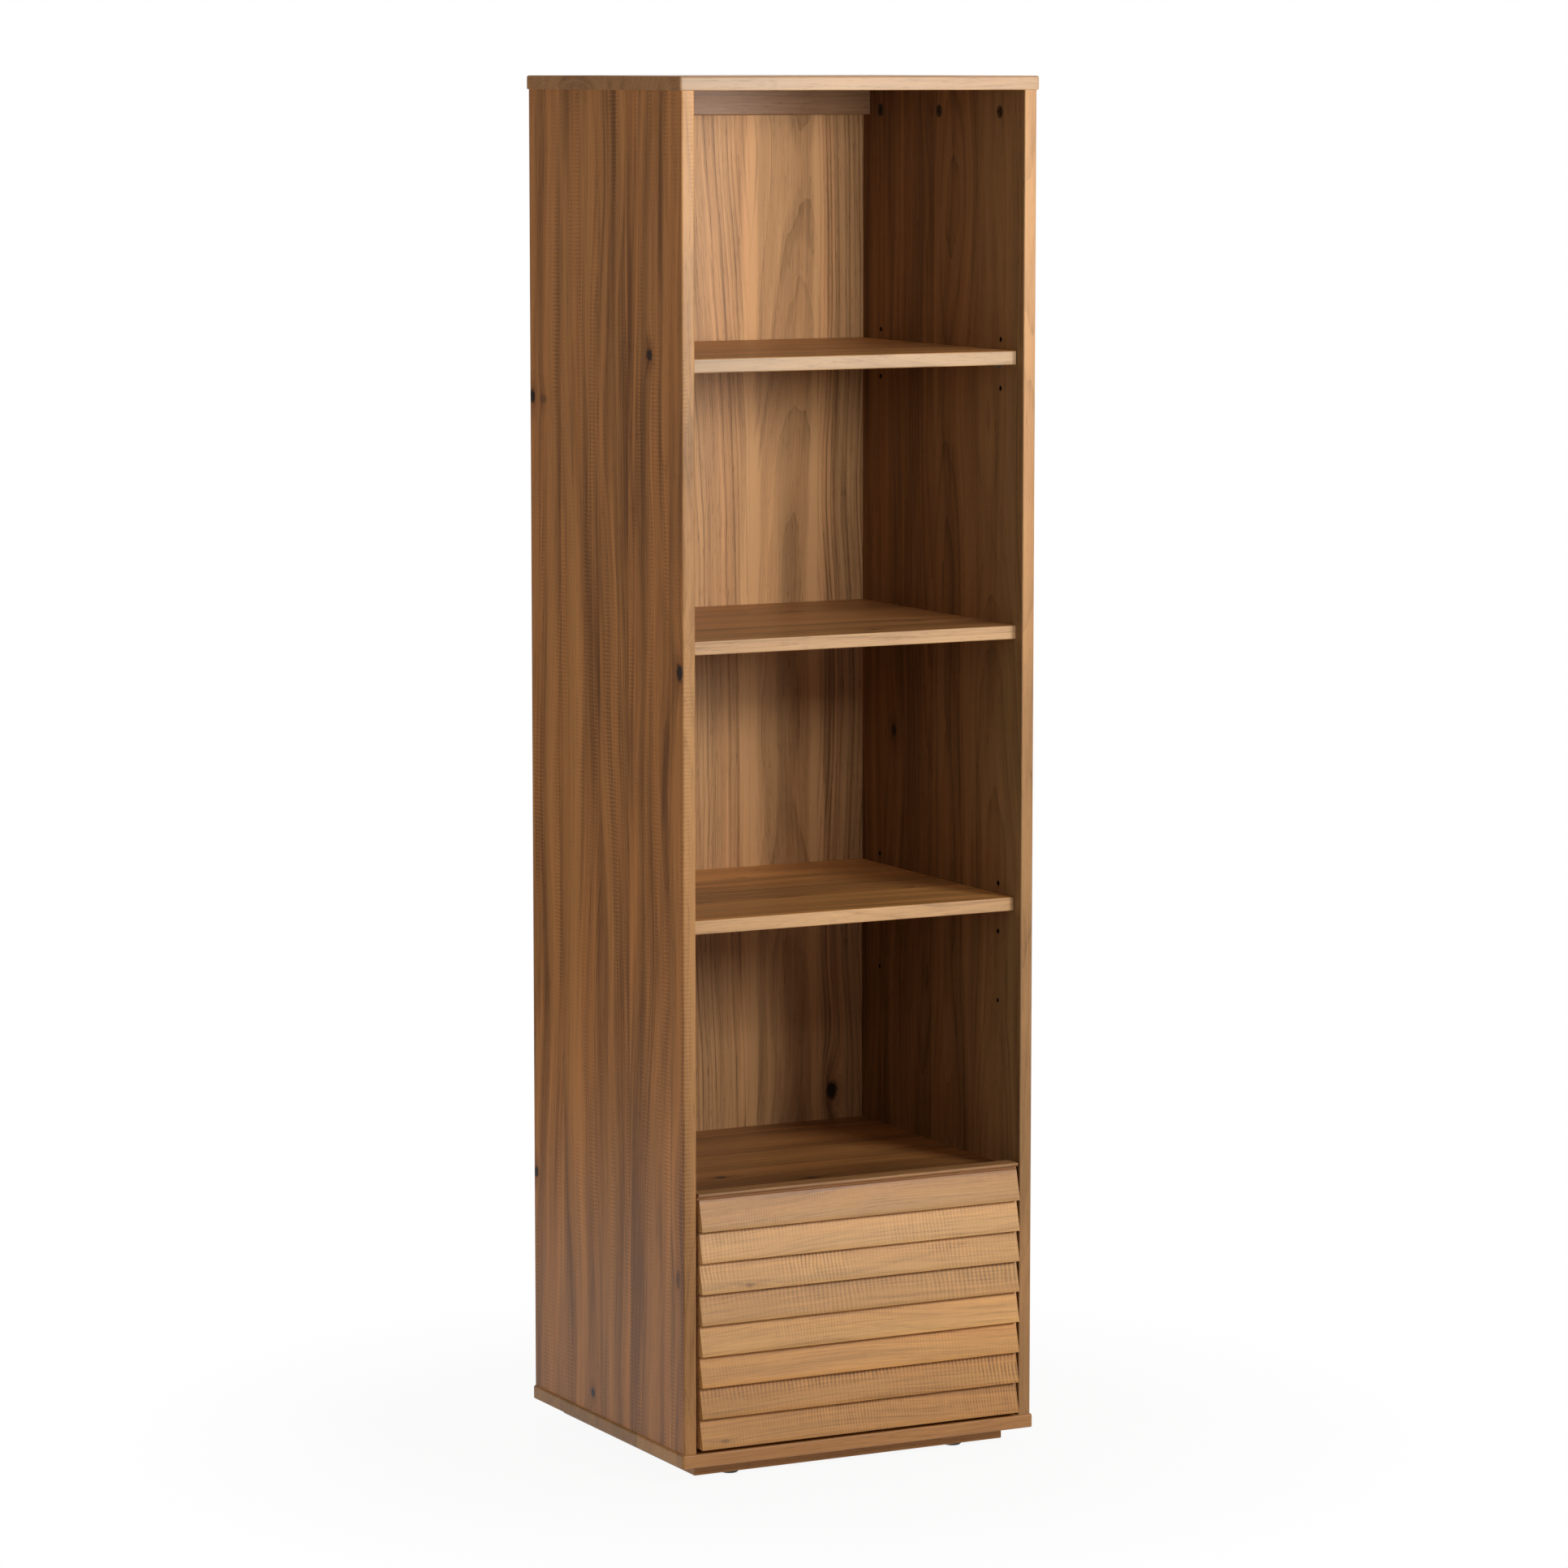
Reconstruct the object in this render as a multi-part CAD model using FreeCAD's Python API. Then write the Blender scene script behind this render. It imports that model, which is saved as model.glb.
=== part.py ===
import FreeCAD, Part
import os
from collections import defaultdict

# Tall narrow bookcase with open shelves above one louvred drawer, built from boards, flat-pack
# fittings and telescopic runners. Millimetres. +X is to the right, +Y to the rear and +Z up. The
# origin is on the floor, under the middle of the bounding box. Depths are given from the front
# edges of the side panels.

Vector = FreeCAD.Vector
RIGHT = Vector(1, 0, 0)
REAR = Vector(0, 1, 0)
UP = Vector(0, 0, 1)
DOWN = Vector(0, 0, -1)
FORWARD = Vector(0, -1, 0)

# Carcass
overall_height = 1600.0
carcass_width = 454.0
side_depth = 402.0
board = 16.0
panel_end_overhang = 2.5
panel_front_overhang = 2.0
panel_corner_radius = 3.0
panel_top_radius = 2.5
panel_lower_radius = 1.2
side_edge_radius = 2.0
shelf_edge_radius = 1.5

# Back panel and the rail under the top
back_thickness = 5.0
back_rear_inset = 6.0
groove_depth = 6.0
groove_clearance = 0.1
back_edge_clearance = 0.5
rail_height = 31.0
back_screw_from_side = 105.0

# Plinth and glides
plinth_height = 16.0
plinth_inset = 25.0
plinth_batten_width = 40.0
plinth_edge_radius = 1.0
glide_height = 5.0
glide_diameter = 22.0
glide_crown = 1.5
glide_from_plinth_end = 55.0
nail_diameter = 2.4
nail_length = 18.0
nail_head_diameter = 8.0
nail_head_height = 1.2
nail_tip_diameter = 0.6
plinth_screw_from_end = 90.0

# Bays, counted upwards from the drawer
lower_bay_height = 303.5
middle_bay_height = 302.0
upper_bay_height = 301.5
shelf_setback = 15.6
shelf_end_clearance = 1.0
shelf_rear_clearance = 1.0

# Shelf pins and the rows of holes that they stand in
pin_diameter = 5.0
pin_hole_wall = 6.0
pin_end_clearance = 1.0
pin_head_radius = 4.0
pin_head_length = 8.0
pin_seat_rise = 0.8
pin_from_front = 53.5
pin_from_rear = 56.0
pin_hole_pitch = 28.3
spare_hole_drop = 110.2

# Louvred drawer front
slat_count = 8
slat_pitch = 36.2
slat_top_thickness = 3.0
slat_bottom_thickness = 12.5
slat_end_inset = 1.2
slat_edge_radius = 0.8
front_board_setback = 4.0
front_board_edge_radius = 1.0
front_side_gap = 2.5
front_bottom_gap = 4.8
cap_thickness = 4.0
cap_reveal = 3.1
cap_overhang = 5.0
cap_nose_radius = 1.9
cap_above_divider = 8.0
front_to_divider_gap = 1.0
front_screw_from_side = 75.0
front_screw_from_edge = 52.0

# Drawer box and its runners
drawer_wall = 12.0
drawer_floor = 5.0
drawer_floor_rise = 12.0
drawer_floor_groove = 6.0
drawer_box_rise = 25.0
drawer_headroom = 42.5
drawer_rear_clearance = 21.0
drawer_rim_radius = 2.0
corner_screw_from_edge = 42.0
corner_screw_length = 30.0
runner_thickness = 12.7
runner_height = 45.0
runner_steel = 1.2
runner_rise = 75.0
runner_front_setback = 2.0
runner_outer_depth = 10.6
runner_middle_start = 3.2
runner_middle_end = 9.0
runner_inner_start = 5.2
runner_outer_lip = 4.0
runner_middle_lip = 4.5
runner_hat_half_height = 13.0
runner_running_gap = 0.35
runner_bend_radius = 0.8
runner_screw_from_end = 42.0

# Cam fittings, dowels and screws
fit = 0.05
blind_wall = 5.0
cam_diameter = 15.0
cam_floor = 1.3
cam_edge_distance = 25.5
cam_recess = 0.3
cam_slot_length = 9.0
cam_slot_width = 1.8
cam_slot_depth = 2.0
bolt_thread_diameter = 6.0
bolt_shank_diameter = 7.0
bolt_neck_diameter = 4.0
bolt_head_diameter = 6.4
bolt_head_length = 4.0
bolt_bore_clearance = 0.4
cam_row_from_front = 58.0
cam_row_from_rear = 54.0
shelf_cam_from_edge = 70.0
dowel_diameter = 8.0
dowel_in_edge = 19.0
dowel_end_clearance = 1.0
dowel_chamfer = 1.0
screw_diameter = 3.5
screw_head_diameter = 7.0
screw_head_height = 1.6
screw_crown_diameter = 5.0
screw_tip_length = 2.5
screw_tip_diameter = 1.0
screw_well_clearance = 0.5
screw_head_recess = 4.0
screw_blind_wall = 3.0

# Levels and planes worked out from the sizes above
slat_reach = slat_bottom_thickness - front_board_setback
side_front = -(side_depth - slat_reach) / 2
side_rear = side_front + side_depth
outer_face = carcass_width / 2
inner_face = outer_face - board
plinth_top = glide_height + plinth_height
floor_level = plinth_top + board
ceiling_level = overall_height - board
side_height = ceiling_level - floor_level
back_front = side_rear - back_rear_inset - back_thickness

front_bottom = floor_level + front_bottom_gap
slats_top = front_bottom + slat_count * slat_pitch
cap_bottom = slats_top + cap_reveal
cap_top = cap_bottom + cap_thickness
front_board_face = side_front + front_board_setback
front_board_back = front_board_face + board
front_half_width = inner_face - front_side_gap

divider_top = cap_top - cap_above_divider
lower_shelf_top = divider_top + lower_bay_height + board
fixed_shelf_top = lower_shelf_top + middle_bay_height + board
upper_shelf_top = fixed_shelf_top + upper_bay_height + board
divider_front = front_board_back + front_to_divider_gap
shelf_front = side_front + shelf_setback

box_outer = inner_face - runner_thickness
box_inner = box_outer - drawer_wall
box_bottom = floor_level + drawer_box_rise
box_top = divider_top - board - drawer_headroom
box_rear = back_front - drawer_rear_clearance
box_floor_level = box_bottom + drawer_floor_rise
runner_middle_height = box_bottom + runner_rise
runner_front = front_board_back + runner_front_setback
runner_length = box_rear - runner_front

cam_radius = cam_diameter / 2
cam_depth = board / 2 + bolt_head_diameter / 2 + cam_floor
pin_rows = (side_front + pin_from_front, side_rear - pin_from_rear)
cam_rows = (
    side_front + cam_row_from_front,
    (side_front + cam_row_from_front + side_rear - cam_row_from_rear) / 2,
    side_rear - cam_row_from_rear,
)
dowel_rows = ((cam_rows[0] + cam_rows[1]) / 2, (cam_rows[1] + cam_rows[2]) / 2)

# Pieces by node name, and the holes and pockets that each board still has to get
pieces = defaultdict(list)
pockets = defaultdict(list)


def box(low, high):
    """A block between two opposite corners."""
    low = Vector(*low)
    high = Vector(*high)
    return Part.makeBox(high.x - low.x, high.y - low.y, high.z - low.z, low)


def rod(start, direction, diameter, length):
    """A round bar from a point along a direction."""
    return Part.makeCylinder(diameter / 2, length, start, direction)


def extruded(points, direction):
    """A prism of a flat outline with straight sides."""
    return Part.Face(Part.makePolygon(points + points[:1])).extrude(direction)


def turned(outline, start, direction):
    """A solid of revolution: outline pairs are (distance along the axis, radius)."""
    points = [Vector(radius, 0, along) for along, radius in outline]
    points.insert(0, Vector(0, 0, outline[0][0]))
    points.append(Vector(0, 0, outline[-1][0]))
    solid = Part.Face(Part.makePolygon(points + points[:1])).revolve(Vector(), UP, 360)
    solid.Placement = FreeCAD.Placement(start, FreeCAD.Rotation(UP, direction))
    return solid


def rounded(solid, radius, chosen):
    """The solid with every edge that the test accepts rounded to a radius."""
    edges = [edge for edge in solid.Edges if chosen(edge.BoundBox)]
    return solid.makeFillet(radius, edges)


def at(value, target):
    """Whether two coordinates are the same."""
    return abs(value - target) < 1e-3


def mirrored(solid):
    """The solid's mirror image on the other side of the middle plane."""
    return solid.mirror(Vector(), RIGHT)


def oriented(solid, origin, local_x, local_z):
    """A copy of a solid placed with its own x and z axes along two given directions."""
    copy = solid.copy()
    turn = FreeCAD.Rotation(local_x, local_z.cross(local_x), local_z, "ZXY")
    copy.Placement = FreeCAD.Placement(origin, turn)
    return copy


def cam_lock():
    """A round cam with its face on z = 0, a cross slot, and a cavity that opens along +x."""
    lock = Part.makeCylinder(cam_radius, cam_depth - cam_recess, Vector(0, 0, -cam_depth))
    cavity_radius = bolt_head_diameter / 2 + bolt_bore_clearance
    cavity_start = Vector(-bolt_head_length, 0, -board / 2)
    cavity = Part.makeCylinder(cavity_radius, cam_diameter, cavity_start, RIGHT)
    half_length = cam_slot_length / 2
    half_width = cam_slot_width / 2
    along = box((-half_length, -half_width, -cam_recess - cam_slot_depth), (half_length, half_width, 0))
    across = box((-half_width, -half_length, -cam_recess - cam_slot_depth), (half_width, half_length, 0))
    return lock.cut([cavity, along, across])


def cam_bolt(joint, toward_panel):
    """A bolt screwed into a panel, whose head reaches back to the middle of the cam."""
    thread = board - blind_wall - dowel_end_clearance
    shank = cam_edge_distance - cam_radius
    head_start = cam_edge_distance - bolt_head_length / 2
    tip = cam_edge_distance + bolt_head_length / 2
    outline = [
        (-tip, bolt_head_diameter / 2),
        (-head_start, bolt_head_diameter / 2),
        (-head_start, bolt_neck_diameter / 2),
        (-shank, bolt_neck_diameter / 2),
        (-shank, bolt_shank_diameter / 2),
        (0, bolt_shank_diameter / 2),
        (0, bolt_thread_diameter / 2),
        (thread, bolt_thread_diameter / 2),
    ]
    return turned(outline, joint, toward_panel)


def add_cam_joint(family, edge_board, face_board, joint, toward_panel, cam_face):
    """Fit one cam and bolt where the edge of one board meets the face of another.

    joint is the point on the meeting plane at half the edge board's thickness, toward_panel points
    into the face board, and cam_face is the outward normal of the face that shows the cam.
    """
    centre = joint - toward_panel * cam_edge_distance + cam_face * (board / 2)
    pieces[family + "_cam_locks"].append(oriented(cam_lock(), centre, toward_panel, cam_face))
    pieces[family + "_cam_bolts"].append(cam_bolt(joint, toward_panel))
    pocket = rod(centre - cam_face * (cam_depth + fit), cam_face, cam_diameter + 2 * fit, cam_depth + 2 * fit)
    bore_diameter = bolt_shank_diameter + 2 * bolt_bore_clearance
    bore = rod(joint - toward_panel * cam_edge_distance, toward_panel, bore_diameter, cam_edge_distance)
    threaded = rod(joint, toward_panel, bolt_thread_diameter + 2 * fit, board - blind_wall)
    pockets[edge_board] += [pocket, bore]
    pockets[face_board].append(threaded)


def add_dowel(node, edge_board, face_board, joint, toward_panel):
    """Fit one fluteless dowel across the plane where an edge meets a face."""
    in_face = board - blind_wall
    radius = dowel_diameter / 2
    outline = [
        (-dowel_in_edge, radius - dowel_chamfer),
        (-dowel_in_edge + dowel_chamfer, radius),
        (in_face - dowel_end_clearance - dowel_chamfer, radius),
        (in_face - dowel_end_clearance, radius - dowel_chamfer),
    ]
    pieces[node].append(turned(outline, joint, toward_panel))
    hole_start = joint - toward_panel * (dowel_in_edge + dowel_end_clearance)
    hole_length = dowel_in_edge + dowel_end_clearance + in_face
    hole = rod(hole_start, toward_panel, dowel_diameter + 2 * fit, hole_length)
    pockets[edge_board].append(hole)
    pockets[face_board].append(hole)


def add_screw(node, seat, direction, length, boards, sunk=0.0):
    """Drive one pan-head screw: seat is the point under its head, sunk is how deep the head lies."""
    seat = seat + direction * sunk
    shank = screw_diameter / 2
    head = screw_head_diameter / 2
    outline = [
        (-screw_head_height, screw_crown_diameter / 2),
        (-screw_head_height / 2, head),
        (0, head),
        (0, shank),
        (length - screw_tip_length, shank),
        (length, screw_tip_diameter / 2),
    ]
    pieces[node].append(turned(outline, seat, direction))
    hole = rod(seat, direction, screw_diameter + 2 * fit, length + fit)
    for name in boards:
        pockets[name].append(hole)
    if sunk:
        well = rod(seat - direction * sunk, direction, screw_head_diameter + 2 * screw_well_clearance, sunk)
        pockets[boards[0]].append(well)


def finished(node, solid):
    """Cut a board's holes and pockets, and put it with the finished pieces."""
    if pockets[node]:
        solid = solid.cut(pockets[node])
    pieces[node] = [solid]


def end_panel(bottom, groove_bottom):
    """The top or bottom panel: eased all round, with a stopped groove for the back panel."""
    half_width = outer_face + panel_end_overhang
    front = side_front - panel_front_overhang
    top = bottom + board
    panel = box((-half_width, front, bottom), (half_width, side_rear, top))
    panel = rounded(panel, panel_corner_radius, lambda b: at(b.YMax, front) and at(b.ZLength, board))
    panel = rounded(panel, panel_top_radius, lambda b: at(b.ZMin, top) and not at(b.YMin, side_rear))
    panel = rounded(panel, panel_lower_radius, lambda b: at(b.ZMax, bottom) and not at(b.YMin, side_rear))
    half_groove = inner_face + groove_depth
    groove = box(
        (-half_groove, back_front - groove_clearance, groove_bottom),
        (half_groove, back_front + back_thickness + groove_clearance, groove_bottom + groove_depth),
    )
    return panel.cut(groove)


def side_panel():
    """The right side panel with its eased front, its back groove and its rows of pin holes."""
    panel = box((inner_face, side_front, floor_level), (outer_face, side_rear, ceiling_level))
    panel = rounded(panel, side_edge_radius, lambda b: at(b.YMax, side_front) and at(b.ZLength, side_height))
    groove = box(
        (inner_face, back_front - groove_clearance, floor_level),
        (inner_face + groove_depth, back_front + back_thickness + groove_clearance, ceiling_level),
    )
    holes = []
    for depth in pin_rows:
        for level in pin_hole_levels():
            start = Vector(inner_face, depth, level)
            holes.append(rod(start, RIGHT, pin_diameter + 2 * fit, board - pin_hole_wall))
    return panel.cut([groove] + holes)


def pin_hole_levels():
    """Heights of every pin hole in one column, from the two loose shelves' own seats."""
    upper = upper_shelf_top - board - pin_seat_rise
    lower = lower_shelf_top - board - pin_seat_rise
    levels = [upper + step * pin_hole_pitch for step in (-1, 0, 1)]
    levels += [lower + step * pin_hole_pitch for step in (-1, 0, 1)]
    return levels + [lower - spare_hole_drop]


def shelf(top, front, rear, end_clearance):
    """A shelf board with its two long front edges eased."""
    half_width = inner_face - end_clearance
    solid = box((-half_width, front, top - board), (half_width, rear, top))
    return rounded(solid, shelf_edge_radius, lambda b: at(b.YMax, front) and b.XLength > half_width)


def add_shelf_pins(node, shelf_top):
    """Four spoon pins: a round peg in the side panel and a half-round spoon under the shelf."""
    seat = shelf_top - board
    axis_level = seat - pin_seat_rise
    peg_length = board - pin_hole_wall - pin_end_clearance
    for depth in pin_rows:
        foot = Vector(inner_face, depth, axis_level)
        peg = rod(foot, RIGHT, pin_diameter, peg_length)
        spoon = rod(foot, -RIGHT, 2 * pin_head_radius, pin_head_length)
        flat = box(
            (inner_face - pin_head_length, depth - pin_head_radius, seat),
            (inner_face, depth + pin_head_radius, seat + pin_head_radius),
        )
        pin = peg.fuse(spoon.cut(flat)).removeSplitter()
        pieces[node] += [pin, mirrored(pin)]


def add_back():
    """The back panel in its grooves, the rail in front of its top edge, and the screws through it."""
    half_width = inner_face + groove_depth - back_edge_clearance
    low = floor_level - groove_depth + back_edge_clearance
    high = ceiling_level + groove_depth - back_edge_clearance
    panel = box((-half_width, back_front, low), (half_width, back_front + back_thickness, high))
    rail_front = back_front - board
    rail_bottom = ceiling_level - rail_height
    rail = box((-inner_face, rail_front, rail_bottom), (inner_face, back_front, ceiling_level))
    rail = rounded(rail, shelf_edge_radius, lambda b: at(b.YMax, rail_front) and at(b.ZMax, rail_bottom))
    rows = {
        "top_rear_rail": ceiling_level - rail_height / 2,
        "fixed_shelf": fixed_shelf_top - board / 2,
        "drawer_divider": divider_top - board / 2,
    }
    for name, level in rows.items():
        for across in (back_screw_from_side - inner_face, 0, inner_face - back_screw_from_side):
            seat = Vector(across, back_front + back_thickness, level)
            length = back_thickness + board - screw_blind_wall
            add_screw("back_panel_screws", seat, FORWARD, length, ["back_panel", name])
    for side, name in ((-1, "side_panel_left"), (1, "side_panel_right")):
        joint = Vector(side * inner_face, rail_front + board / 2, ceiling_level - rail_height / 2)
        add_dowel("rail_dowels", "top_rear_rail", name, joint, RIGHT * side)
    finished("back_panel", panel)
    finished("top_rear_rail", rail)


def add_end_joints(family, panel, level, toward_panel):
    """Cams and dowels between both side panels and the top or bottom panel."""
    for side, name in ((-1, "side_panel_left"), (1, "side_panel_right")):
        middle = side * (inner_face + board / 2)
        for depth in cam_rows:
            joint = Vector(middle, depth, level)
            add_cam_joint(family, name, panel, joint, toward_panel, RIGHT * -side)
        for depth in dowel_rows:
            add_dowel(family + "_dowels", name, panel, Vector(middle, depth, level), toward_panel)


def add_shelf_joints(family, node, top, front, rear):
    """Cams under both ends of a fixed shelf, with dowels between them."""
    level = top - board / 2
    rows = (front + shelf_cam_from_edge, rear - shelf_cam_from_edge)
    span = rows[1] - rows[0]
    for side, name in ((-1, "side_panel_left"), (1, "side_panel_right")):
        for depth in rows:
            joint = Vector(side * inner_face, depth, level)
            add_cam_joint(family, node, name, joint, RIGHT * side, DOWN)
        for share in (1 / 3, 2 / 3):
            joint = Vector(side * inner_face, rows[0] + share * span, level)
            add_dowel(family + "_dowels", node, name, joint, RIGHT * side)


def add_plinth():
    """Four flat battens under the bottom panel, screwed up into it, with a glide at each corner."""
    half_width = outer_face - plinth_inset
    front = side_front + plinth_inset
    rear = side_rear - plinth_inset
    inner_half = half_width - plinth_batten_width
    inner_front = front + plinth_batten_width
    inner_rear = rear - plinth_batten_width
    battens = {
        "plinth_front": box((-half_width, front, glide_height), (half_width, inner_front, plinth_top)),
        "plinth_rear": box((-half_width, inner_rear, glide_height), (half_width, rear, plinth_top)),
        "plinth_left": box((-half_width, inner_front, glide_height), (-inner_half, inner_rear, plinth_top)),
        "plinth_right": box((inner_half, inner_front, glide_height), (half_width, inner_rear, plinth_top)),
    }
    screw_length = plinth_height - screw_head_recess + board - blind_wall
    for name, batten in battens.items():
        bounds = batten.BoundBox
        centre = bounds.Center
        along = RIGHT if bounds.XLength > bounds.YLength else REAR
        reach = max(bounds.XLength, bounds.YLength) / 2 - plinth_screw_from_end
        for step in (-reach, reach):
            seat = Vector(centre.x, centre.y, glide_height) + along * step
            add_screw("plinth_screws", seat, UP, screw_length, [name, "bottom_panel"], screw_head_recess)
    for name, middle in (("plinth_front", front), ("plinth_rear", inner_rear)):
        for side in (-1, 1):
            spot = Vector(side * (half_width - glide_from_plinth_end), middle + plinth_batten_width / 2, 0)
            add_glide(spot, name)
    for name, batten in battens.items():
        finished(name, rounded(batten, plinth_edge_radius, lambda b: at(b.ZMax, glide_height)))


def add_glide(spot, batten):
    """A domed plastic glide and the nail that holds it, driven up into a batten."""
    radius = glide_diameter / 2
    outline = [(0, radius - glide_crown), (glide_crown, radius), (glide_height, radius)]
    disc = turned(outline, spot, UP)
    head_level = glide_crown
    nail_outline = [
        (head_level, nail_head_diameter / 2),
        (head_level + nail_head_height, nail_head_diameter / 2),
        (head_level + nail_head_height, nail_diameter / 2),
        (head_level + nail_length - nail_diameter, nail_diameter / 2),
        (head_level + nail_length, nail_tip_diameter / 2),
    ]
    nail = turned(nail_outline, spot, UP)
    well = rod(spot, UP, nail_head_diameter + 2 * fit, head_level + nail_head_height)
    hole = rod(spot, UP, nail_diameter + 2 * fit, head_level + nail_length + fit)
    pieces["glides"].append(disc.cut([well, hole]))
    pieces["glide_nails"].append(nail)
    pockets[batten].append(hole)


def slat(top):
    """One clapboard slat: thin at its upper edge, thick at its overhanging lower edge."""
    half_width = front_half_width - slat_end_inset
    bottom = top - slat_pitch
    outline = [
        Vector(-half_width, front_board_face, bottom),
        Vector(-half_width, front_board_face, top),
        Vector(-half_width, front_board_face - slat_top_thickness, top),
        Vector(-half_width, front_board_face - slat_bottom_thickness, bottom),
    ]
    solid = extruded(outline, RIGHT * (2 * half_width))
    return rounded(solid, slat_edge_radius, lambda b: b.YMax < front_board_face - slat_top_thickness + 0.1)


def add_drawer_front():
    """The front board, its bull-nosed cap and the stack of slats glued to its face."""
    front_board = box(
        (-front_half_width, front_board_face, front_bottom), (front_half_width, front_board_back, cap_bottom)
    )
    front_board = rounded(front_board, front_board_edge_radius, lambda b: at(b.ZMax, front_bottom))
    cap_front = front_board_face - cap_overhang
    cap = box((-front_half_width, cap_front, cap_bottom), (front_half_width, front_board_back, cap_top))
    cap = rounded(cap, cap_nose_radius, lambda b: at(b.YMax, cap_front) and b.XLength > front_half_width)
    for across in (front_screw_from_side - box_inner, box_inner - front_screw_from_side):
        for height in (box_bottom + front_screw_from_edge, box_top - front_screw_from_edge):
            seat = Vector(across, front_board_back + drawer_wall, height)
            length = drawer_wall + board - screw_blind_wall
            boards = ["drawer_sub_front", "drawer_front_board"]
            add_screw("drawer_front_screws", seat, FORWARD, length, boards)
    finished("drawer_front_board", front_board)
    finished("drawer_front_cap", cap)
    for number in range(slat_count):
        finished("drawer_slat_%d" % (number + 1), slat(slats_top - number * slat_pitch))


def add_drawer_box():
    """Two sides, a sub-front and a back round a thin bottom that slides in grooves."""
    groove_low = box_floor_level - groove_clearance
    groove_high = box_floor_level + drawer_floor + groove_clearance
    reach = drawer_floor_groove
    groove = box(
        (-box_inner - reach, front_board_back + drawer_wall - reach, groove_low),
        (box_inner + reach, box_rear - drawer_wall + reach, groove_high),
    )
    slack = reach - back_edge_clearance
    bottom = box(
        (-box_inner - slack, front_board_back + drawer_wall - slack, box_floor_level),
        (box_inner + slack, box_rear - drawer_wall + slack, box_floor_level + drawer_floor),
    )
    side = box((box_inner, front_board_back, box_bottom), (box_outer, box_rear, box_top))
    side = rounded(side, drawer_rim_radius, lambda b: at(b.ZMin, box_top) and b.YLength > drawer_wall)
    cross_wall = box((-box_inner, 0, box_bottom), (box_inner, drawer_wall, box_top))
    sub_front = cross_wall.translated(REAR * front_board_back)
    back = cross_wall.translated(REAR * (box_rear - drawer_wall))
    for node, start in (("drawer_sub_front", front_board_back), ("drawer_back", box_rear - drawer_wall)):
        for hand, name in ((-1, "drawer_side_left"), (1, "drawer_side_right")):
            for height in (box_bottom + corner_screw_from_edge, box_top - corner_screw_from_edge):
                seat = Vector(hand * box_outer, start + drawer_wall / 2, height)
                inward = RIGHT * -hand
                boards = [name, node]
                add_screw("drawer_box_screws", seat, inward, corner_screw_length, boards, screw_head_height)
    finished("drawer_side_right", side.cut(groove))
    finished("drawer_side_left", mirrored(side).cut(groove))
    finished("drawer_sub_front", sub_front.cut(groove))
    finished("drawer_back", back.cut(groove))
    finished("drawer_bottom", bottom)


def runner_member(half_outline, bends):
    """A steel runner of a symmetric section, as pairs of (distance in from the right side, half height).

    bends gives the places in the outline of the outer corners that are bent round.
    """
    upper = [Vector(inner_face - inward, runner_front, height) for inward, height in half_outline]
    lower = [Vector(point.x, point.y, -point.z) for point in reversed(upper)]
    solid = extruded(upper + lower, REAR * runner_length)
    bent = [upper[place] for place in bends]

    def is_bend(bounds):
        centre = bounds.Center
        return any(at(centre.x, corner.x) and at(abs(centre.z), corner.z) for corner in bent)

    solid = rounded(solid, runner_bend_radius, is_bend)
    solid.translate(UP * runner_middle_height)
    return solid


def add_runners():
    """Left and right telescopic runners: a fixed outer channel, a middle one and the drawer's own."""
    steel = runner_steel
    outer_half = runner_height / 2
    middle_half = outer_half - steel - runner_running_gap
    inner_half = middle_half - steel - runner_running_gap
    hat = runner_hat_half_height
    outer = runner_member([
        (0, outer_half),
        (runner_outer_depth, outer_half),
        (runner_outer_depth, outer_half - runner_outer_lip),
        (runner_outer_depth - steel, outer_half - runner_outer_lip),
        (runner_outer_depth - steel, outer_half - steel),
        (steel, outer_half - steel),
    ], (0, 1))
    middle = runner_member([
        (runner_middle_start, middle_half),
        (runner_middle_end, middle_half),
        (runner_middle_end, middle_half - runner_middle_lip),
        (runner_middle_end - steel, middle_half - runner_middle_lip),
        (runner_middle_end - steel, middle_half - steel),
        (runner_middle_start + steel, middle_half - steel),
    ], (0, 1))
    inner = runner_member([
        (runner_thickness, hat),
        (runner_inner_start + steel, hat),
        (runner_inner_start + steel, inner_half),
        (runner_inner_start, inner_half),
        (runner_inner_start, hat - steel),
        (runner_thickness - steel, hat - steel),
    ], (0, 4))
    runner_rear = runner_front + runner_length
    runner_screw_depths = (
        runner_front + runner_screw_from_end,
        (runner_front + runner_rear) / 2,
        runner_rear - runner_screw_from_end,
    )
    members = {"runner_outer": outer, "runner_middle": middle, "runner_inner": inner}
    for hand, side in ((-1, "left"), (1, "right")):
        for depth in runner_screw_depths:
            on_side = Vector(hand * (inner_face - steel), depth, runner_middle_height)
            cabinet = ["runner_outer_" + side, "side_panel_" + side]
            reach = steel + board - blind_wall
            add_screw("runner_cabinet_screws", on_side, RIGHT * hand, reach, cabinet)
            on_drawer = Vector(hand * (box_outer + steel), depth, runner_middle_height)
            drawer = ["runner_inner_" + side, "drawer_side_" + side]
            reach = steel + drawer_wall - screw_blind_wall
            add_screw("runner_drawer_screws", on_drawer, RIGHT * -hand, reach, drawer)
        for name, member in members.items():
            finished(name + "_" + side, member if hand > 0 else mirrored(member))


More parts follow.
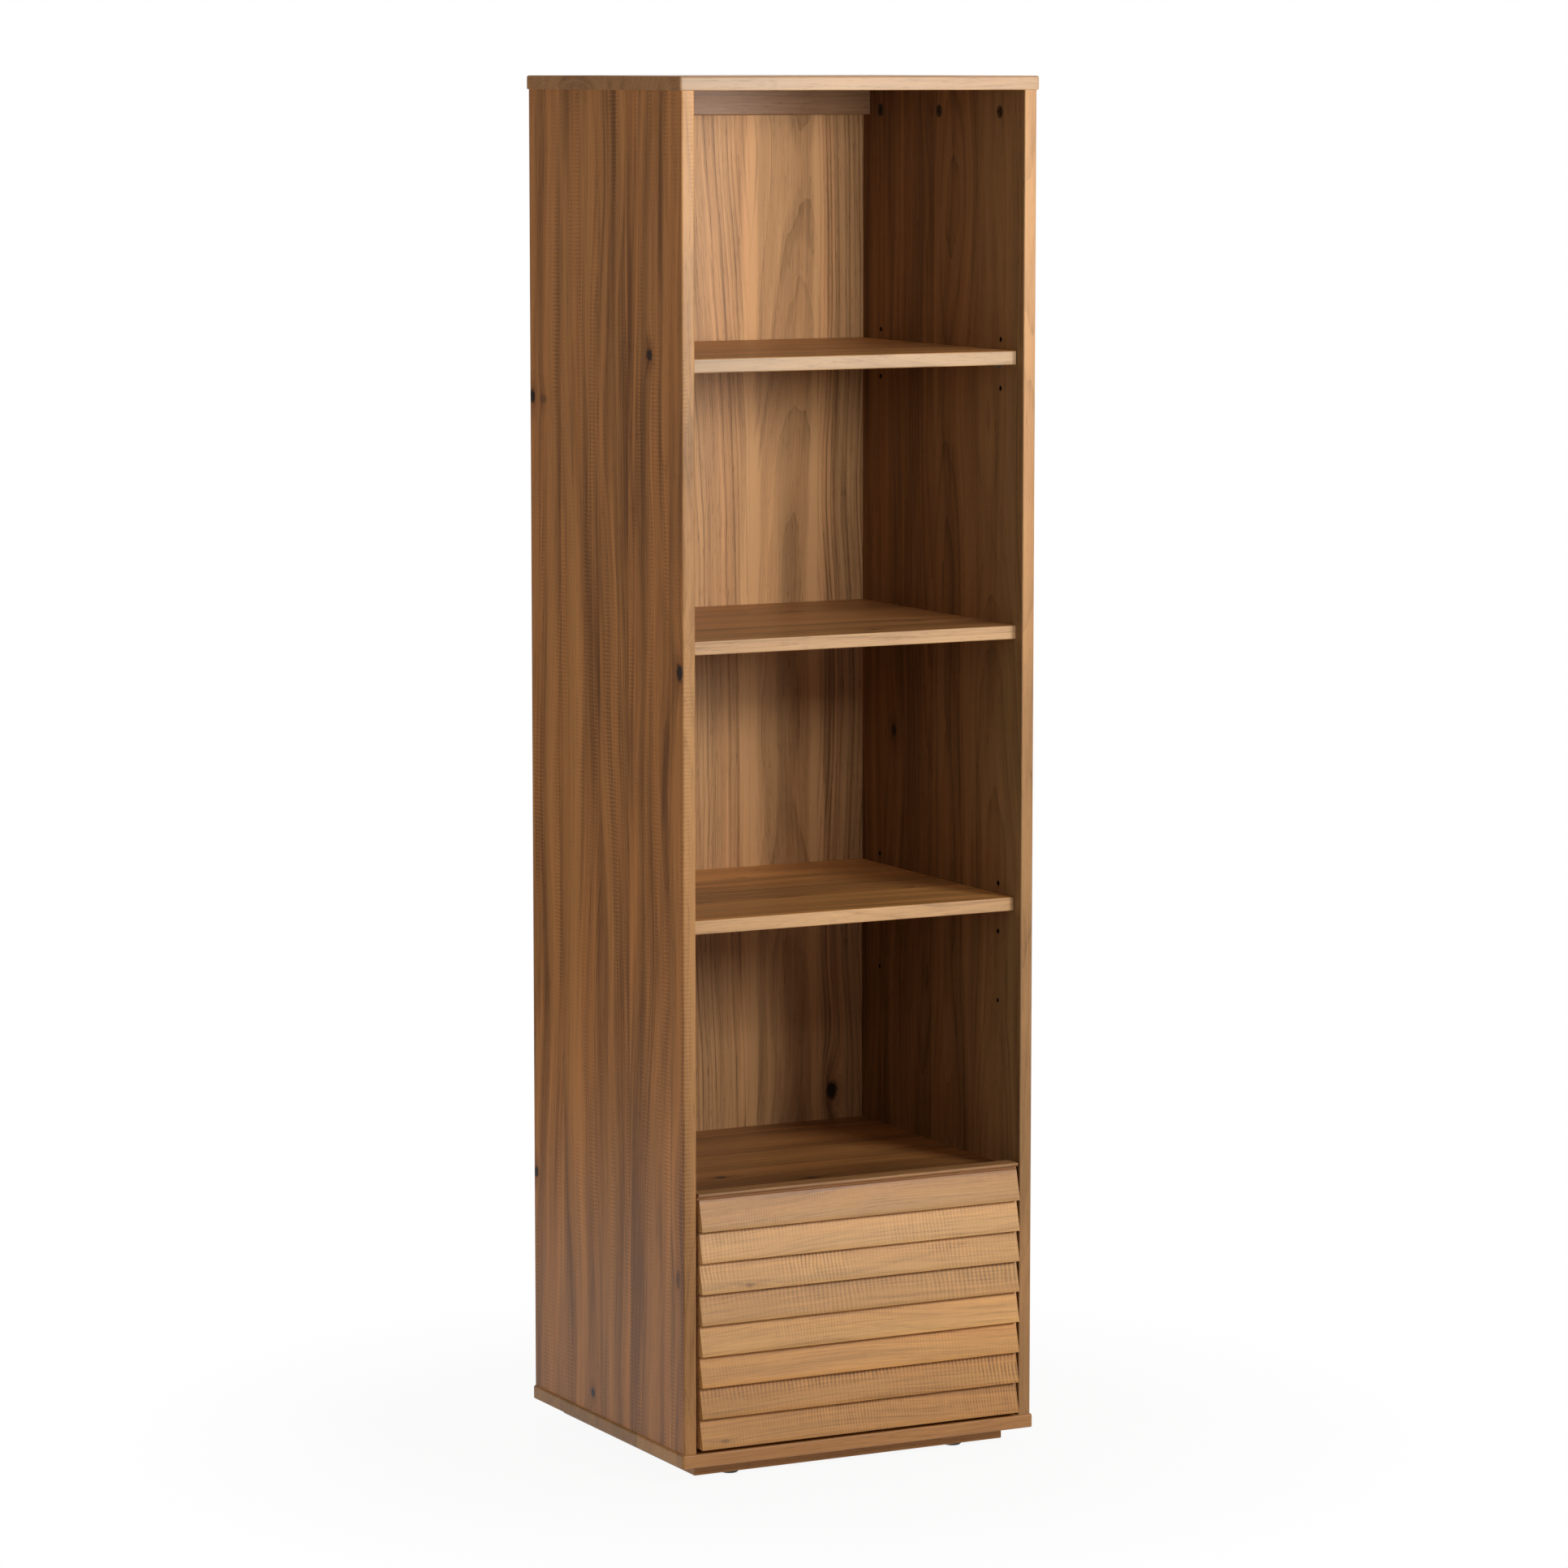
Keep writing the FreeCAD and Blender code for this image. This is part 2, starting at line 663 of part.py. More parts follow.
def add_carcass():
    """The boards of the case, once every fitting in them is known."""
    right = side_panel()
    finished("side_panel_right", right)
    finished("side_panel_left", mirrored(right))
    finished("top_panel", end_panel(ceiling_level, ceiling_level))
    finished("bottom_panel", end_panel(plinth_top, floor_level - groove_depth))
    finished("fixed_shelf", shelf(fixed_shelf_top, shelf_front, back_front, 0))
    finished("drawer_divider", shelf(divider_top, divider_front, back_front, 0))
    loose_rear = back_front - shelf_rear_clearance
    finished("upper_shelf", shelf(upper_shelf_top, shelf_front, loose_rear, shelf_end_clearance))
    finished("lower_shelf", shelf(lower_shelf_top, shelf_front, loose_rear, shelf_end_clearance))


add_end_joints("top", "top_panel", ceiling_level, UP)
add_end_joints("bottom", "bottom_panel", floor_level, DOWN)
add_shelf_joints("fixed_shelf", "fixed_shelf", fixed_shelf_top, shelf_front, back_front)
add_shelf_joints("divider", "drawer_divider", divider_top, divider_front, back_front)
add_back()
add_plinth()
add_runners()
add_drawer_front()
add_drawer_box()
add_carcass()
add_shelf_pins("upper_shelf_pins", upper_shelf_top)
add_shelf_pins("lower_shelf_pins", lower_shelf_top)

os.makedirs("parts", exist_ok=True)
for node, solids in pieces.items():
    shape = solids[0] if len(solids) == 1 else Part.makeCompound(solids)
    shape.exportStep("parts/%s.step" % node)
    volume = sum(solid.Volume for solid in solids)
    print("%s: %d solid(s), %.0f mm3, valid %s" % (node, len(shape.Solids), volume, shape.isValid()))
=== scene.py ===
"""Looks of a tall acacia bookcase with a louvred drawer: its wood, fittings, studio and camera."""

from __future__ import annotations

import logging
import math
from dataclasses import dataclass, field
from enum import Enum
from typing import Iterable, Union

import bmesh
import bpy
from mathutils import Matrix, Vector, noise

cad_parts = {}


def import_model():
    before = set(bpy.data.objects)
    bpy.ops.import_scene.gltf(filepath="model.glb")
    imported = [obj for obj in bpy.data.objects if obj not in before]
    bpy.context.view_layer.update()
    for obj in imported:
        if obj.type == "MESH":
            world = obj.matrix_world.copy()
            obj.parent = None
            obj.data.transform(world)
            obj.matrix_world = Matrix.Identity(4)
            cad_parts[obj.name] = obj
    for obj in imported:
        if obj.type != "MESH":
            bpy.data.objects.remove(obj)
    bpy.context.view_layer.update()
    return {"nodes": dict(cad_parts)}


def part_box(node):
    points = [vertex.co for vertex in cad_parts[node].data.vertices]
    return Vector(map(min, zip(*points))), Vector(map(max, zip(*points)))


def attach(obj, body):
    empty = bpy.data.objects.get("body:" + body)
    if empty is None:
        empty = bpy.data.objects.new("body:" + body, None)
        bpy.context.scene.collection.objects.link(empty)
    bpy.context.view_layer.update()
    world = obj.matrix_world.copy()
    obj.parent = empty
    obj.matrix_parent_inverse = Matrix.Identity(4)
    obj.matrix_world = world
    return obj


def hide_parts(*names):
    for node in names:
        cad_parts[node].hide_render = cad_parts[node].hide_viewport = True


LOG = logging.getLogger("bookcase")
MILLIMETRE = 0.001
RIPPLE_SHADE = "ripple_shade"
Feed = Union[float, tuple, "Wire"]
Spot = tuple[float, float, float]
Shade = tuple[int, int, int]
Colour = tuple[float, float, float, float]
ORIGIN: Spot = (0.0, 0.0, 0.0)
WHITE: Colour = (1.0, 1.0, 1.0, 1.0)


def display_colour(shade: Shade) -> Colour:
    """Turn display values out of 255 into the light that they stand for.

    Args:
        shade: Red, green and blue.

    Returns:
        The colour as linear red, green, blue and a full alpha.
    """
    knee, slope, offset, power = 0.04045, 12.92, 0.055, 2.4
    red, green, blue = (
        share / slope if share <= knee else ((share + offset) / (1 + offset)) ** power
        for share in (value / 255 for value in shade)
    )
    return (red, green, blue, 1.0)


class Wire:
    """One output of a node, which adds, subtracts, multiplies and divides by placing more nodes."""

    def __init__(self, sheet: Sheet, socket: bpy.types.NodeSocket) -> None:
        """Keep the output and the sheet that it lies on."""
        self.sheet = sheet
        self.socket = socket

    def __add__(self, other: Feed) -> Wire:
        """Add a number or a vector."""
        return self.sheet.worked("ADD", self, other)

    def __sub__(self, other: Feed) -> Wire:
        """Subtract a number or a vector."""
        return self.sheet.worked("SUBTRACT", self, other)

    def __rsub__(self, other: Feed) -> Wire:
        """Subtract this from a number or a vector."""
        return self.sheet.worked("SUBTRACT", other, self)

    def __mul__(self, other: Feed) -> Wire:
        """Multiply by a number or a vector."""
        return self.sheet.worked("MULTIPLY", self, other)

    def __truediv__(self, other: Feed) -> Wire:
        """Divide by a number."""
        return self.sheet.worked("DIVIDE", self, other)

    __radd__ = __add__
    __rmul__ = __mul__


class Sheet:
    """A node tree with short calls that place nodes and join them."""

    def __init__(self, tree: bpy.types.NodeTree) -> None:
        """Work on one node tree."""
        self.tree = tree

    def feed(self, socket: bpy.types.NodeSocket, value: Feed) -> None:
        """Join an output to a socket, or set the socket's own value.

        Args:
            socket: The input that is fed.
            value: Another node's output, or a plain value.
        """
        if isinstance(value, Wire):
            self.tree.links.new(value.socket, socket)
        else:
            socket.default_value = value

    def place(self, kind: str, feeds: dict, **settings: object) -> dict[int | str, Wire]:
        """Add a node, set it up and feed its inputs.

        Args:
            kind: The node's type.
            feeds: Input names or places, with what each is fed.
            **settings: The node's own properties.

        Returns:
            The node's outputs, by place and by name.
        """
        node = self.tree.nodes.new(kind)
        for name, value in settings.items():
            setattr(node, name, value)
        for key, value in feeds.items():
            self.feed(node.inputs[key], value)
        return self.outputs(node)

    def outputs(self, node: bpy.types.Node) -> dict[int | str, Wire]:
        """Take hold of a node's outputs, by place and by name."""
        wires = [Wire(self, socket) for socket in node.outputs]
        return dict(enumerate(wires)) | {wire.socket.name: wire for wire in wires}

    def use(self, group: bpy.types.NodeTree, feeds: dict) -> dict[int | str, Wire]:
        """Place a node group, feed its inputs by name and take hold of its outputs."""
        return self.place("ShaderNodeGroup", feeds, node_tree=group)

    def math(self, operation: str, *values: Feed) -> Wire:
        """Work out one number from others."""
        return self.place("ShaderNodeMath", dict(enumerate(values)), operation=operation)[0]

    def worked(self, operation: str, first: Feed, second: Feed) -> Wire:
        """Work out a number from two others, or a vector where a vector is among them.

        Args:
            operation: Name of the operation.
            first: The first term.
            second: The second term.

        Returns:
            The result.
        """
        wires = [term for term in (first, second) if isinstance(term, Wire)]
        if any(wire.socket.type == "VECTOR" for wire in wires):
            return self.place("ShaderNodeVectorMath", {0: first, 1: second}, operation=operation)[0]
        return self.math(operation, first, second)

    def length(self, vector: Feed) -> Wire:
        """Measure a vector."""
        return self.place("ShaderNodeVectorMath", {0: vector}, operation="LENGTH")["Value"]

    def rise(self, value: Feed, low: float, high: float) -> Wire:
        """Go smoothly from 0 at the low value to 1 at the high one."""
        feeds = {"Value": value, "From Min": low, "From Max": high}
        return self.place("ShaderNodeMapRange", feeds, interpolation_type="SMOOTHSTEP")["Result"]

    def ramp(self, value: Feed, low: float, high: float) -> Wire:
        """Go straight from 0 at the low value to 1 at the high one."""
        feeds = {"Value": value, "From Min": low, "From Max": high}
        return self.place("ShaderNodeMapRange", feeds)["Result"]

    def split(self, vector: Feed) -> tuple[Wire, ...]:
        """Take a vector apart into its three numbers."""
        parts = self.place("ShaderNodeSeparateXYZ", {0: vector})
        return tuple(parts[axis] for axis in "XYZ")

    def joined(self, *numbers: Feed) -> Wire:
        """Make a vector of three numbers."""
        return self.place("ShaderNodeCombineXYZ", dict(enumerate(numbers)))[0]

    def noise(self, place: Wire, lumps: Feed, detail: float = 2.0, roughness: float = 0.5) -> Wire:
        """Read soft noise, from about 0 to 1, with so many lumps to the metre along each axis."""
        feeds = {"Vector": place * lumps, "Scale": 1.0, "Detail": detail, "Roughness": roughness}
        return self.place("ShaderNodeTexNoise", feeds)["Fac"]

    def line_noise(self, place: Wire, detail: float = 1.0, roughness: float = 0.5) -> Wire:
        """Read soft noise along a line, from about 0 to 1, with one lump to the unit."""
        feeds = {"W": place, "Scale": 1.0, "Detail": detail, "Roughness": roughness}
        return self.place("ShaderNodeTexNoise", feeds, noise_dimensions="1D")["Fac"]

    def chance(self, number: Feed, seed: Feed) -> tuple[Wire, ...]:
        """Draw three numbers that stay the same for one pair of numbers.

        Args:
            number: What the draw is for, such as a stave's number.
            seed: Tells one draw for the same thing from another.

        Returns:
            Three numbers, each from 0 to 1.
        """
        spot = self.joined(number, seed, 0.0)
        drawn = self.place("ShaderNodeTexWhiteNoise", {"Vector": spot}, noise_dimensions="2D")
        parts = self.place("ShaderNodeSeparateColor", {0: drawn["Color"]})
        return tuple(parts[place] for place in range(3))

    def mix(self, share: Feed, first: Feed, second: Feed, blend: str = "MIX") -> Wire:
        """Blend two colours.

        Args:
            share: How much of the second colour comes in.
            first: The colour underneath.
            second: The colour on top.
            blend: The way of blending.

        Returns:
            The colour.
        """
        share_input, first_input, second_input, colour_output = 0, 6, 7, 2
        feeds = {share_input: share, first_input: first, second_input: second}
        return self.place("ShaderNodeMix", feeds, data_type="RGBA", blend_type=blend)[colour_output]

    def tinted(self, colour: Feed, tint: Feed) -> Wire:
        """Multiply a colour by a tint."""
        return self.mix(1.0, colour, tint, "MULTIPLY")


class Kind(Enum):
    """What a socket of an effect carries."""

    VALUE = "NodeSocketFloat"
    PLACE = "NodeSocketVector"
    COLOUR = "NodeSocketColor"


class Effect(Sheet):
    """A shader node group with named inputs and outputs."""

    def __init__(self, name: str, inputs: dict, values: Iterable[str], colours: Iterable[str] = ()) -> None:
        """Make an empty group with its sockets.

        Args:
            name: The group's name.
            inputs: Names with their usual values, whose type gives the socket's.
            values: Names of the outputs that carry a number.
            colours: Names of the outputs that carry a colour.
        """
        super().__init__(bpy.data.node_groups.new(name, "ShaderNodeTree"))
        for label, usual in inputs.items():
            width = len(usual) if isinstance(usual, tuple) else 1
            kind = {1: Kind.VALUE, 3: Kind.PLACE, 4: Kind.COLOUR}[width]
            socket = self.tree.interface.new_socket(label, in_out="INPUT", socket_type=kind.value)
            socket.default_value = usual
        for labels, kind in ((colours, Kind.COLOUR), (values, Kind.VALUE)):
            for label in labels:
                self.tree.interface.new_socket(label, in_out="OUTPUT", socket_type=kind.value)
        self.given = self.outputs(self.tree.nodes.new("NodeGroupInput"))
        self.taken = self.tree.nodes.new("NodeGroupOutput").inputs

    def give(self, **results: Feed) -> bpy.types.NodeTree:
        """Join results to the group's outputs.

        Args:
            **results: Output names with what each gets.

        Returns:
            The finished group.
        """
        for label, value in results.items():
            self.feed(self.taken[label], value)
        return self.tree


def stave_effect() -> bpy.types.NodeTree:
    """Edge-glued staves of uneven width.

    Returns:
        A group that numbers the staves, gives the place across each and marks the glue lines.
    """
    glue_line = 0.5 * MILLIMETRE
    inputs = {"Across": 0.0, "Width": 0.09, "Phase": 0.0, "Uneven": 0.5, "Seed": 0.0}
    effect = Effect("staves", inputs, ("Number", "Inside", "Line"))
    given = effect.given
    place = given["Across"] / given["Width"] + given["Phase"]
    cell = effect.math("FLOOR", place)
    share = place - cell
    edge = effect.chance(cell, given["Seed"])[0] * given["Uneven"]
    number = cell - effect.math("LESS_THAN", share, edge)
    gap = effect.math("ABSOLUTE", share - edge) * given["Width"]
    line = 1.0 - effect.rise(gap, 0.0, glue_line)
    return effect.give(Number=number, Inside=(place - number - 0.5) * given["Width"], Line=line)


def ring_effect() -> bpy.types.NodeTree:
    """Growth rings, streaks, dark lines, fibres and pores of one stave, cut from its own place in a trunk.

    Returns:
        A group that reads a place as along, across and through the board.
    """
    pith_draw, slope_draw, stave_shift, sway_shift = 3.7, 5.3, 7.31, 41.0
    pith_nearest, pith_range, pith_spread = 12 * MILLIMETRE, 55 * MILLIMETRE, 2.3
    wander_lumps, wander_reach = 2.1, 36 * MILLIMETRE
    sway_lumps, sway_reach = 1.7, 35 * MILLIMETRE
    slope_range, lean_range = 0.05, 0.075
    ripple_reach, drift_reach = 2.8 * MILLIMETRE, 60 * MILLIMETRE
    late_pitch, late_power = 0.7, 4.0
    inputs = {"Place": ORIGIN, "Inside": 0.0, "Number": 0.0, "Seed": 0.0, "Width": 0.09}
    inputs |= {"Ring": 0.006, "Bend": 0.0}
    names = ("Rings", "Late", "Streaks", "Lines", "Fibres", "Pores", "Hue")
    effect = Effect("growth_rings", inputs, names)
    given = effect.given
    number, seed, ring, bend = (given[label] for label in ("Number", "Seed", "Ring", "Bend"))
    along, _, depth = effect.split(given["Place"])
    off_centre, under, lean = effect.chance(number, seed + pith_draw)
    slope, _, _ = effect.chance(number, seed + slope_draw)
    own = number * stave_shift
    wander = effect.line_noise(along * wander_lumps + own)
    sway = effect.line_noise(along * sway_lumps + (own + sway_shift))
    inside = given["Inside"] + along * ((slope - 0.5) * slope_range) + sway * sway_reach
    across = inside - (off_centre - 0.5) * pith_spread * given["Width"]
    pith_depth = under * pith_range + pith_nearest
    below = depth + pith_depth + along * ((lean - 0.5) * lean_range) + wander * wander_reach
    local = effect.joined(along, inside + bend, depth) + effect.joined(own, own, seed)
    ripple = effect.noise(local, (10.0, 70.0, 70.0), 1.0) * ripple_reach
    radius = effect.math("SQRT", across * across + below * below) + bend + ripple
    count = radius / (ring * late_pitch)
    whole = effect.math("FLOOR", count)
    late = effect.math("POWER", count - whole, late_power) * effect.chance(whole, own)[0]
    drift = (effect.noise(local, (2.4, 11.0, 11.0), 1.0) - 0.5) * drift_reach
    drifted = local + effect.joined(0.0, drift, 0.0)
    line_noise = effect.noise(drifted, (2.2, 240.0, 240.0), 1.0)
    pore_noise = effect.noise(local, (60.0, 900.0, 900.0), 0.0)
    return effect.give(
        Rings=effect.line_noise(radius / ring, 3.0, 0.6),
        Late=late,
        Streaks=effect.noise(drifted, (1.5, 34.0, 34.0), 3.0, 0.55),
        Lines=effect.rise(line_noise, 0.58, 0.72),
        Fibres=effect.noise(local, (11.0, 560.0, 560.0), 2.0, 0.65),
        Pores=effect.rise(pore_noise, 0.64, 0.76),
        Hue=effect.noise(local, (0.9, 26.0, 26.0)),
    )


def saw_effect() -> bpy.types.NodeTree:
    """The faint ripple that a band saw leaves across the grain, in patches.

    Returns:
        A group whose ripple runs from -1 to 1 and fades between patches.
    """
    slant, waver = 0.02, 4.0 * MILLIMETRE
    effect = Effect("saw_ripple", {"Place": ORIGIN, "Pitch": 0.003, "Seed": 0.0}, ("Ripple",))
    given = effect.given
    along, across, _ = effect.split(given["Place"])
    moved = given["Place"] + effect.joined(given["Seed"], given["Seed"], 0.0)
    jitter = effect.noise(moved, (60.0, 40.0, 40.0), 1.0) * waver
    turns = (along + across * slant + jitter) / given["Pitch"]
    patch = effect.rise(effect.noise(moved, (4.0, 65.0, 65.0), 1.0), 0.44, 0.72)
    return effect.give(Ripple=effect.math("SINE", turns * (2 * math.pi)) * patch)


def knot_effect() -> bpy.types.NodeTree:
    """A knot: a dark ragged heart, a stained halo and rings that bend round it.

    Returns:
        A group for one knot, placed along and across the board.
    """
    heart_ragged, halo_ragged = 0.7, 0.8
    drawn_out, narrowed, falloff = 0.3, 0.35, -1.2
    inputs = {"Place": ORIGIN, "Centre": ORIGIN, "Length": 0.01, "Width": 0.006, "Lift": 0.006}
    inputs |= {"Darkness": 1.0}
    effect = Effect("knot", inputs, ("Bend", "Heart", "Halo"))
    given = effect.given
    along, across, _ = effect.split(given["Place"] - given["Centre"])
    long_share = along / given["Length"]
    wide_share = across / given["Width"]
    ragged = effect.noise(given["Place"], (150.0, 260.0, 260.0))
    near = effect.math("SQRT", long_share * long_share + wide_share * wide_share)
    heart = (1.0 - effect.rise(near + ragged * heart_ragged, 0.8, 1.35)) * given["Darkness"]
    drawn = long_share * drawn_out
    far = drawn * drawn + wide_share * wide_share * narrowed
    far_reach = effect.math("SQRT", far) + ragged * halo_ragged
    halo = (1.0 - effect.rise(far_reach, 0.5, 1.5)) * given["Darkness"]
    hill = effect.math("POWER", math.e, far * falloff)
    return effect.give(Bend=hill * given["Lift"], Heart=heart, Halo=halo)


def board_effect(
    staves: bpy.types.NodeTree, rings: bpy.types.NodeTree, saw: bpy.types.NodeTree
) -> bpy.types.NodeTree:
    """A finished wooden board, put together from its staves, rings and saw marks.

    Args:
        staves: The stave group.
        rings: The growth-ring group.
        saw: The saw-ripple group.

    Returns:
        A group that gives a board's colour, roughness and surface height.
    """
    pore_depth, fibre_depth, saw_depth = 0.05 * MILLIMETRE, 0.03 * MILLIMETRE, 0.4 * MILLIMETRE
    light_grain, dark_grain = (1.4, 1.43, 1.45, 1.0), (0.42, 0.4, 0.39, 1.0)
    cool_tint, warm_tint = (0.97, 1.0, 1.0, 1.0), (1.03, 0.995, 0.97, 1.0)
    stain_tint, halo_and_shade_tint = (0.5, 0.47, 0.44, 1.0), (0.55, 0.46, 0.42, 1.0)
    # Hole walls are near black: painted shade inside the holes.
    heart_colour, painted_bore_shade = display_colour((38, 25, 18)), display_colour((16, 9, 5))
    fibre_weight, late_weight, line_weight, rim_weight = 0.65, 0.7, 0.08, 0.3
    hue_weight, own_hue_weight, edge_calm, rough_range = 1.2, 0.2, 0.4, 0.16
    glue_share, halo_and_shade_share, tone_draw = 0.35, 0.8, 8.9
    inputs = {
        "Place": ORIGIN, "Width": 0.09, "Phase": 0.0, "Uneven": 0.5, "Seed": 0.0, "Ring": 0.006,
        "Middle": (0.4, 0.2, 0.1, 1.0), "Variety": 0.4, "Streak": 0.6, "Figure": 0.5, "Saw": 0.2,
        "Pitch": 0.003, "Matt": 0.5, "Bend": 0.0, "Heart": 0.0, "Halo": 0.0, "Stain": 0.5,
        "Edge": (0.5, 0.3, 0.2, 1.0), "Edge Share": 0.0, "Ripple Shade": 0.0, "Painted Bore Shade": 0.0, "Pores": 0.2,
        "Sapwood": 0.0,
    }
    effect = Effect("wooden_board", inputs, ("Roughness", "Height"), ("Colour",))
    given = effect.given
    place, seed, edge_share = given["Place"], given["Seed"], given["Edge Share"]
    feeds = {label: given[label] for label in ("Width", "Phase", "Uneven", "Seed")}
    stave = effect.use(staves, feeds | {"Across": effect.split(place)[1]})
    feeds = {label: given[label] for label in ("Place", "Seed", "Width", "Ring", "Bend")}
    grain = effect.use(rings, feeds | {"Inside": stave["Inside"], "Number": stave["Number"]})
    marks = effect.use(saw, {"Place": place, "Pitch": given["Pitch"], "Seed": stave["Number"]})
    own_tone, own_hue, own_sap = effect.chance(stave["Number"], seed + tone_draw)

    tone = 0.5 + (own_tone - 0.5) * given["Variety"]
    tone += (grain["Streaks"] - 0.5) * given["Streak"]
    tone += (grain["Rings"] - 0.5) * given["Figure"]
    tone -= grain["Late"] * given["Figure"] * late_weight
    tone += (grain["Fibres"] - 0.5) * fibre_weight
    tone -= grain["Pores"] * given["Pores"]
    tone -= grain["Lines"] * given["Streak"] * line_weight
    rim = effect.math("ABSOLUTE", stave["Inside"]) / given["Width"] + grain["Streaks"] * rim_weight
    tone += effect.rise(rim, 0.48, 0.6) * own_sap * given["Sapwood"]
    # The saw ripple and the slats' ripple shade make the ridges lighter and the grooves darker: painted
    # highlight and shade over the cut relief.
    tone += marks["Ripple"] * given["Saw"] + given["Ripple Shade"]
    tone = 0.5 + (tone - 0.5) * (1.0 - edge_share * edge_calm)

    # Front faces take the edge colour: partly their own tone, partly painted sheen of the frontal light.
    middle = effect.mix(edge_share, given["Middle"], given["Edge"])
    light, dark = effect.tinted(middle, light_grain), effect.tinted(middle, dark_grain)
    colour = effect.mix(effect.ramp(tone, 0.0, 0.5), dark, middle)
    colour = effect.mix(effect.ramp(tone, 0.5, 1.0), colour, light)
    hue = 0.5 + (grain["Hue"] - 0.5) * hue_weight + (own_hue - 0.5) * own_hue_weight
    warm = effect.rise(hue, 0.2, 0.8)
    colour = effect.tinted(colour, effect.mix(warm, cool_tint, warm_tint))
    cloud = effect.noise(place + effect.joined(seed, stave["Number"], 0.0), (3.0, 24.0, 24.0), 3.0)
    stain = effect.rise(cloud, 0.56, 0.74) * given["Stain"] * (marks["Ripple"] * 0.5 + 0.6)
    stain = effect.math("MINIMUM", stain, 1.0)
    colour = effect.mix(stain, colour, effect.tinted(colour, stain_tint))
    colour = effect.mix(stave["Line"] * glue_share, colour, dark)
    # The halo mask carries the knots' stained halos and, on the slats, painted shade under the slat above.
    inner_share = 1.0 - edge_share
    halo = given["Halo"] * inner_share * halo_and_shade_share
    colour = effect.mix(halo, colour, effect.tinted(colour, halo_and_shade_tint))
    colour = effect.mix(given["Heart"] * inner_share, colour, heart_colour)
    # Painted shade on the holes' walls and rims.
    colour = effect.mix(given["Painted Bore Shade"], colour, painted_bore_shade)

    rough = given["Matt"] + (grain["Fibres"] - 0.5) * rough_range
    height = marks["Ripple"] * given["Saw"] * saw_depth
    height += grain["Fibres"] * fibre_depth - grain["Pores"] * pore_depth
    return effect.give(Colour=colour, Roughness=rough, Height=height)


def bore_effect() -> bpy.types.NodeTree:
    """The walls of holes drilled into a board, told by lying clear of all its outer faces.

    Returns:
        A group that marks places inside the board's box.
    """
    skin = (0.1 * MILLIMETRE, 5 * MILLIMETRE, 5 * MILLIMETRE)
    effect = Effect("bore", {"Place": ORIGIN, "Low": ORIGIN, "High": ORIGIN}, ("Inside",))
    given = effect.given
    above = effect.split(given["Place"] - given["Low"] - skin)
    below = effect.split(given["High"] - given["Place"] - skin)
    inside: Feed = 1.0
    for gap in above + below:
        inside = effect.math("GREATER_THAN", gap, 0.0) * inside
    return effect.give(Inside=inside)


def rim_effect() -> bpy.types.NodeTree:
    """The rim of a drilled hole, painted dark as shade round its mouth.

    Returns:
        A group that marks places near the hole's mouth.
    """
    near, far = 2.7 * MILLIMETRE, 3.7 * MILLIMETRE
    effect = Effect("painted_hole_rim_shade", {"Place": ORIGIN, "Centre": ORIGIN}, ("Rim",))
    distance = effect.length(effect.given["Place"] - effect.given["Centre"])
    return effect.give(Rim=1.0 - effect.rise(distance, near, far))


def speckle_effect() -> bpy.types.NodeTree:
    """Fine specks and drawn lines on metal and moulded plastic.

    Returns:
        A group that gives a mask of specks and a surface height.
    """
    depth = 0.02 * MILLIMETRE
    inputs = {"Place": ORIGIN, "Fineness": (900.0, 900.0, 900.0)}
    effect = Effect("speckle", inputs, ("Mask", "Height"))
    mask = effect.noise(effect.given["Place"], effect.given["Fineness"], 3.0, 0.6)
    return effect.give(Mask=mask, Height=mask * depth)


class Grain(Enum):
    """Which of a board's own axes its grain follows: along, across and through the board."""

    LEVEL = ("X", "Y", "Z")
    UPRIGHT_SIDE = ("Z", "Y", "X")
    UPRIGHT_BACK = ("Z", "X", "Y")
    FRONT = ("X", "Z", "Y")
    SIDE_WALL = ("Y", "Z", "X")
    LEVEL_DEEP = ("Y", "X", "Z")


@dataclass(frozen=True)
class Knot:
    """One knot in a board, in metres along and across the grain in the case's own frame."""

    along: float
    across: float
    length: float = 0.008
    width: float = 0.006
    lift: float = 0.008
    darkness: float = 1.0


@dataclass(frozen=True)
class WoodFinish:
    """The look of one wooden board."""

    grain: Grain
    seed: float
    tone: Shade
    stave: float = 0.092
    phase: float = 0.0
    uneven: float = 0.45
    ring: float = 0.0065
    variety: float = 0.3
    streak: float = 0.9
    figure: float = 0.45
    saw: float = 0.1
    pitch: float = 0.003
    stain: float = 0.4
    pores: float = 0.2
    sapwood: float = 0.0
    matt: float = 0.42
    gloss: float = 0.28
    # Colour of the faces turned to the front: partly their own tone, partly painted sheen of the frontal
    # light.
    edge: Shade | None = None
    # Colour of the faces turned right; where it is given, the tone on the other faces is darkened as painted
    # shade.
    outer: Shade | None = None
    ripple_shade_weight: float = 0.0
    # Top of a slat's own space: the strip just below it gets painted shade, as if shadowed by the slat above.
    recess: float | None = None
    # Mouths of holes whose walls and rims get painted shade.
    holes: tuple[Spot, ...] = ()
    knots: tuple[Knot, ...] = ()

    def plain_feeds(self) -> dict[str, Feed]:
        """List the values that a board's group takes as they are.

        Returns:
            The values by the names of the group's inputs.
        """
        labels = ("seed", "phase", "uneven", "ring", "variety", "streak", "figure", "saw", "pitch")
        labels += ("stain", "pores", "sapwood", "matt")
        return {label.capitalize(): getattr(self, label) for label in labels}


@dataclass(frozen=True)
class MetalFinish:
    """The look of one metal: its colour, its darker specks, how rough it is and how its lines run."""

    name: str
    bright: Shade
    dull: Shade
    roughness: float
    fineness: Spot
    metallic: float = 1.0


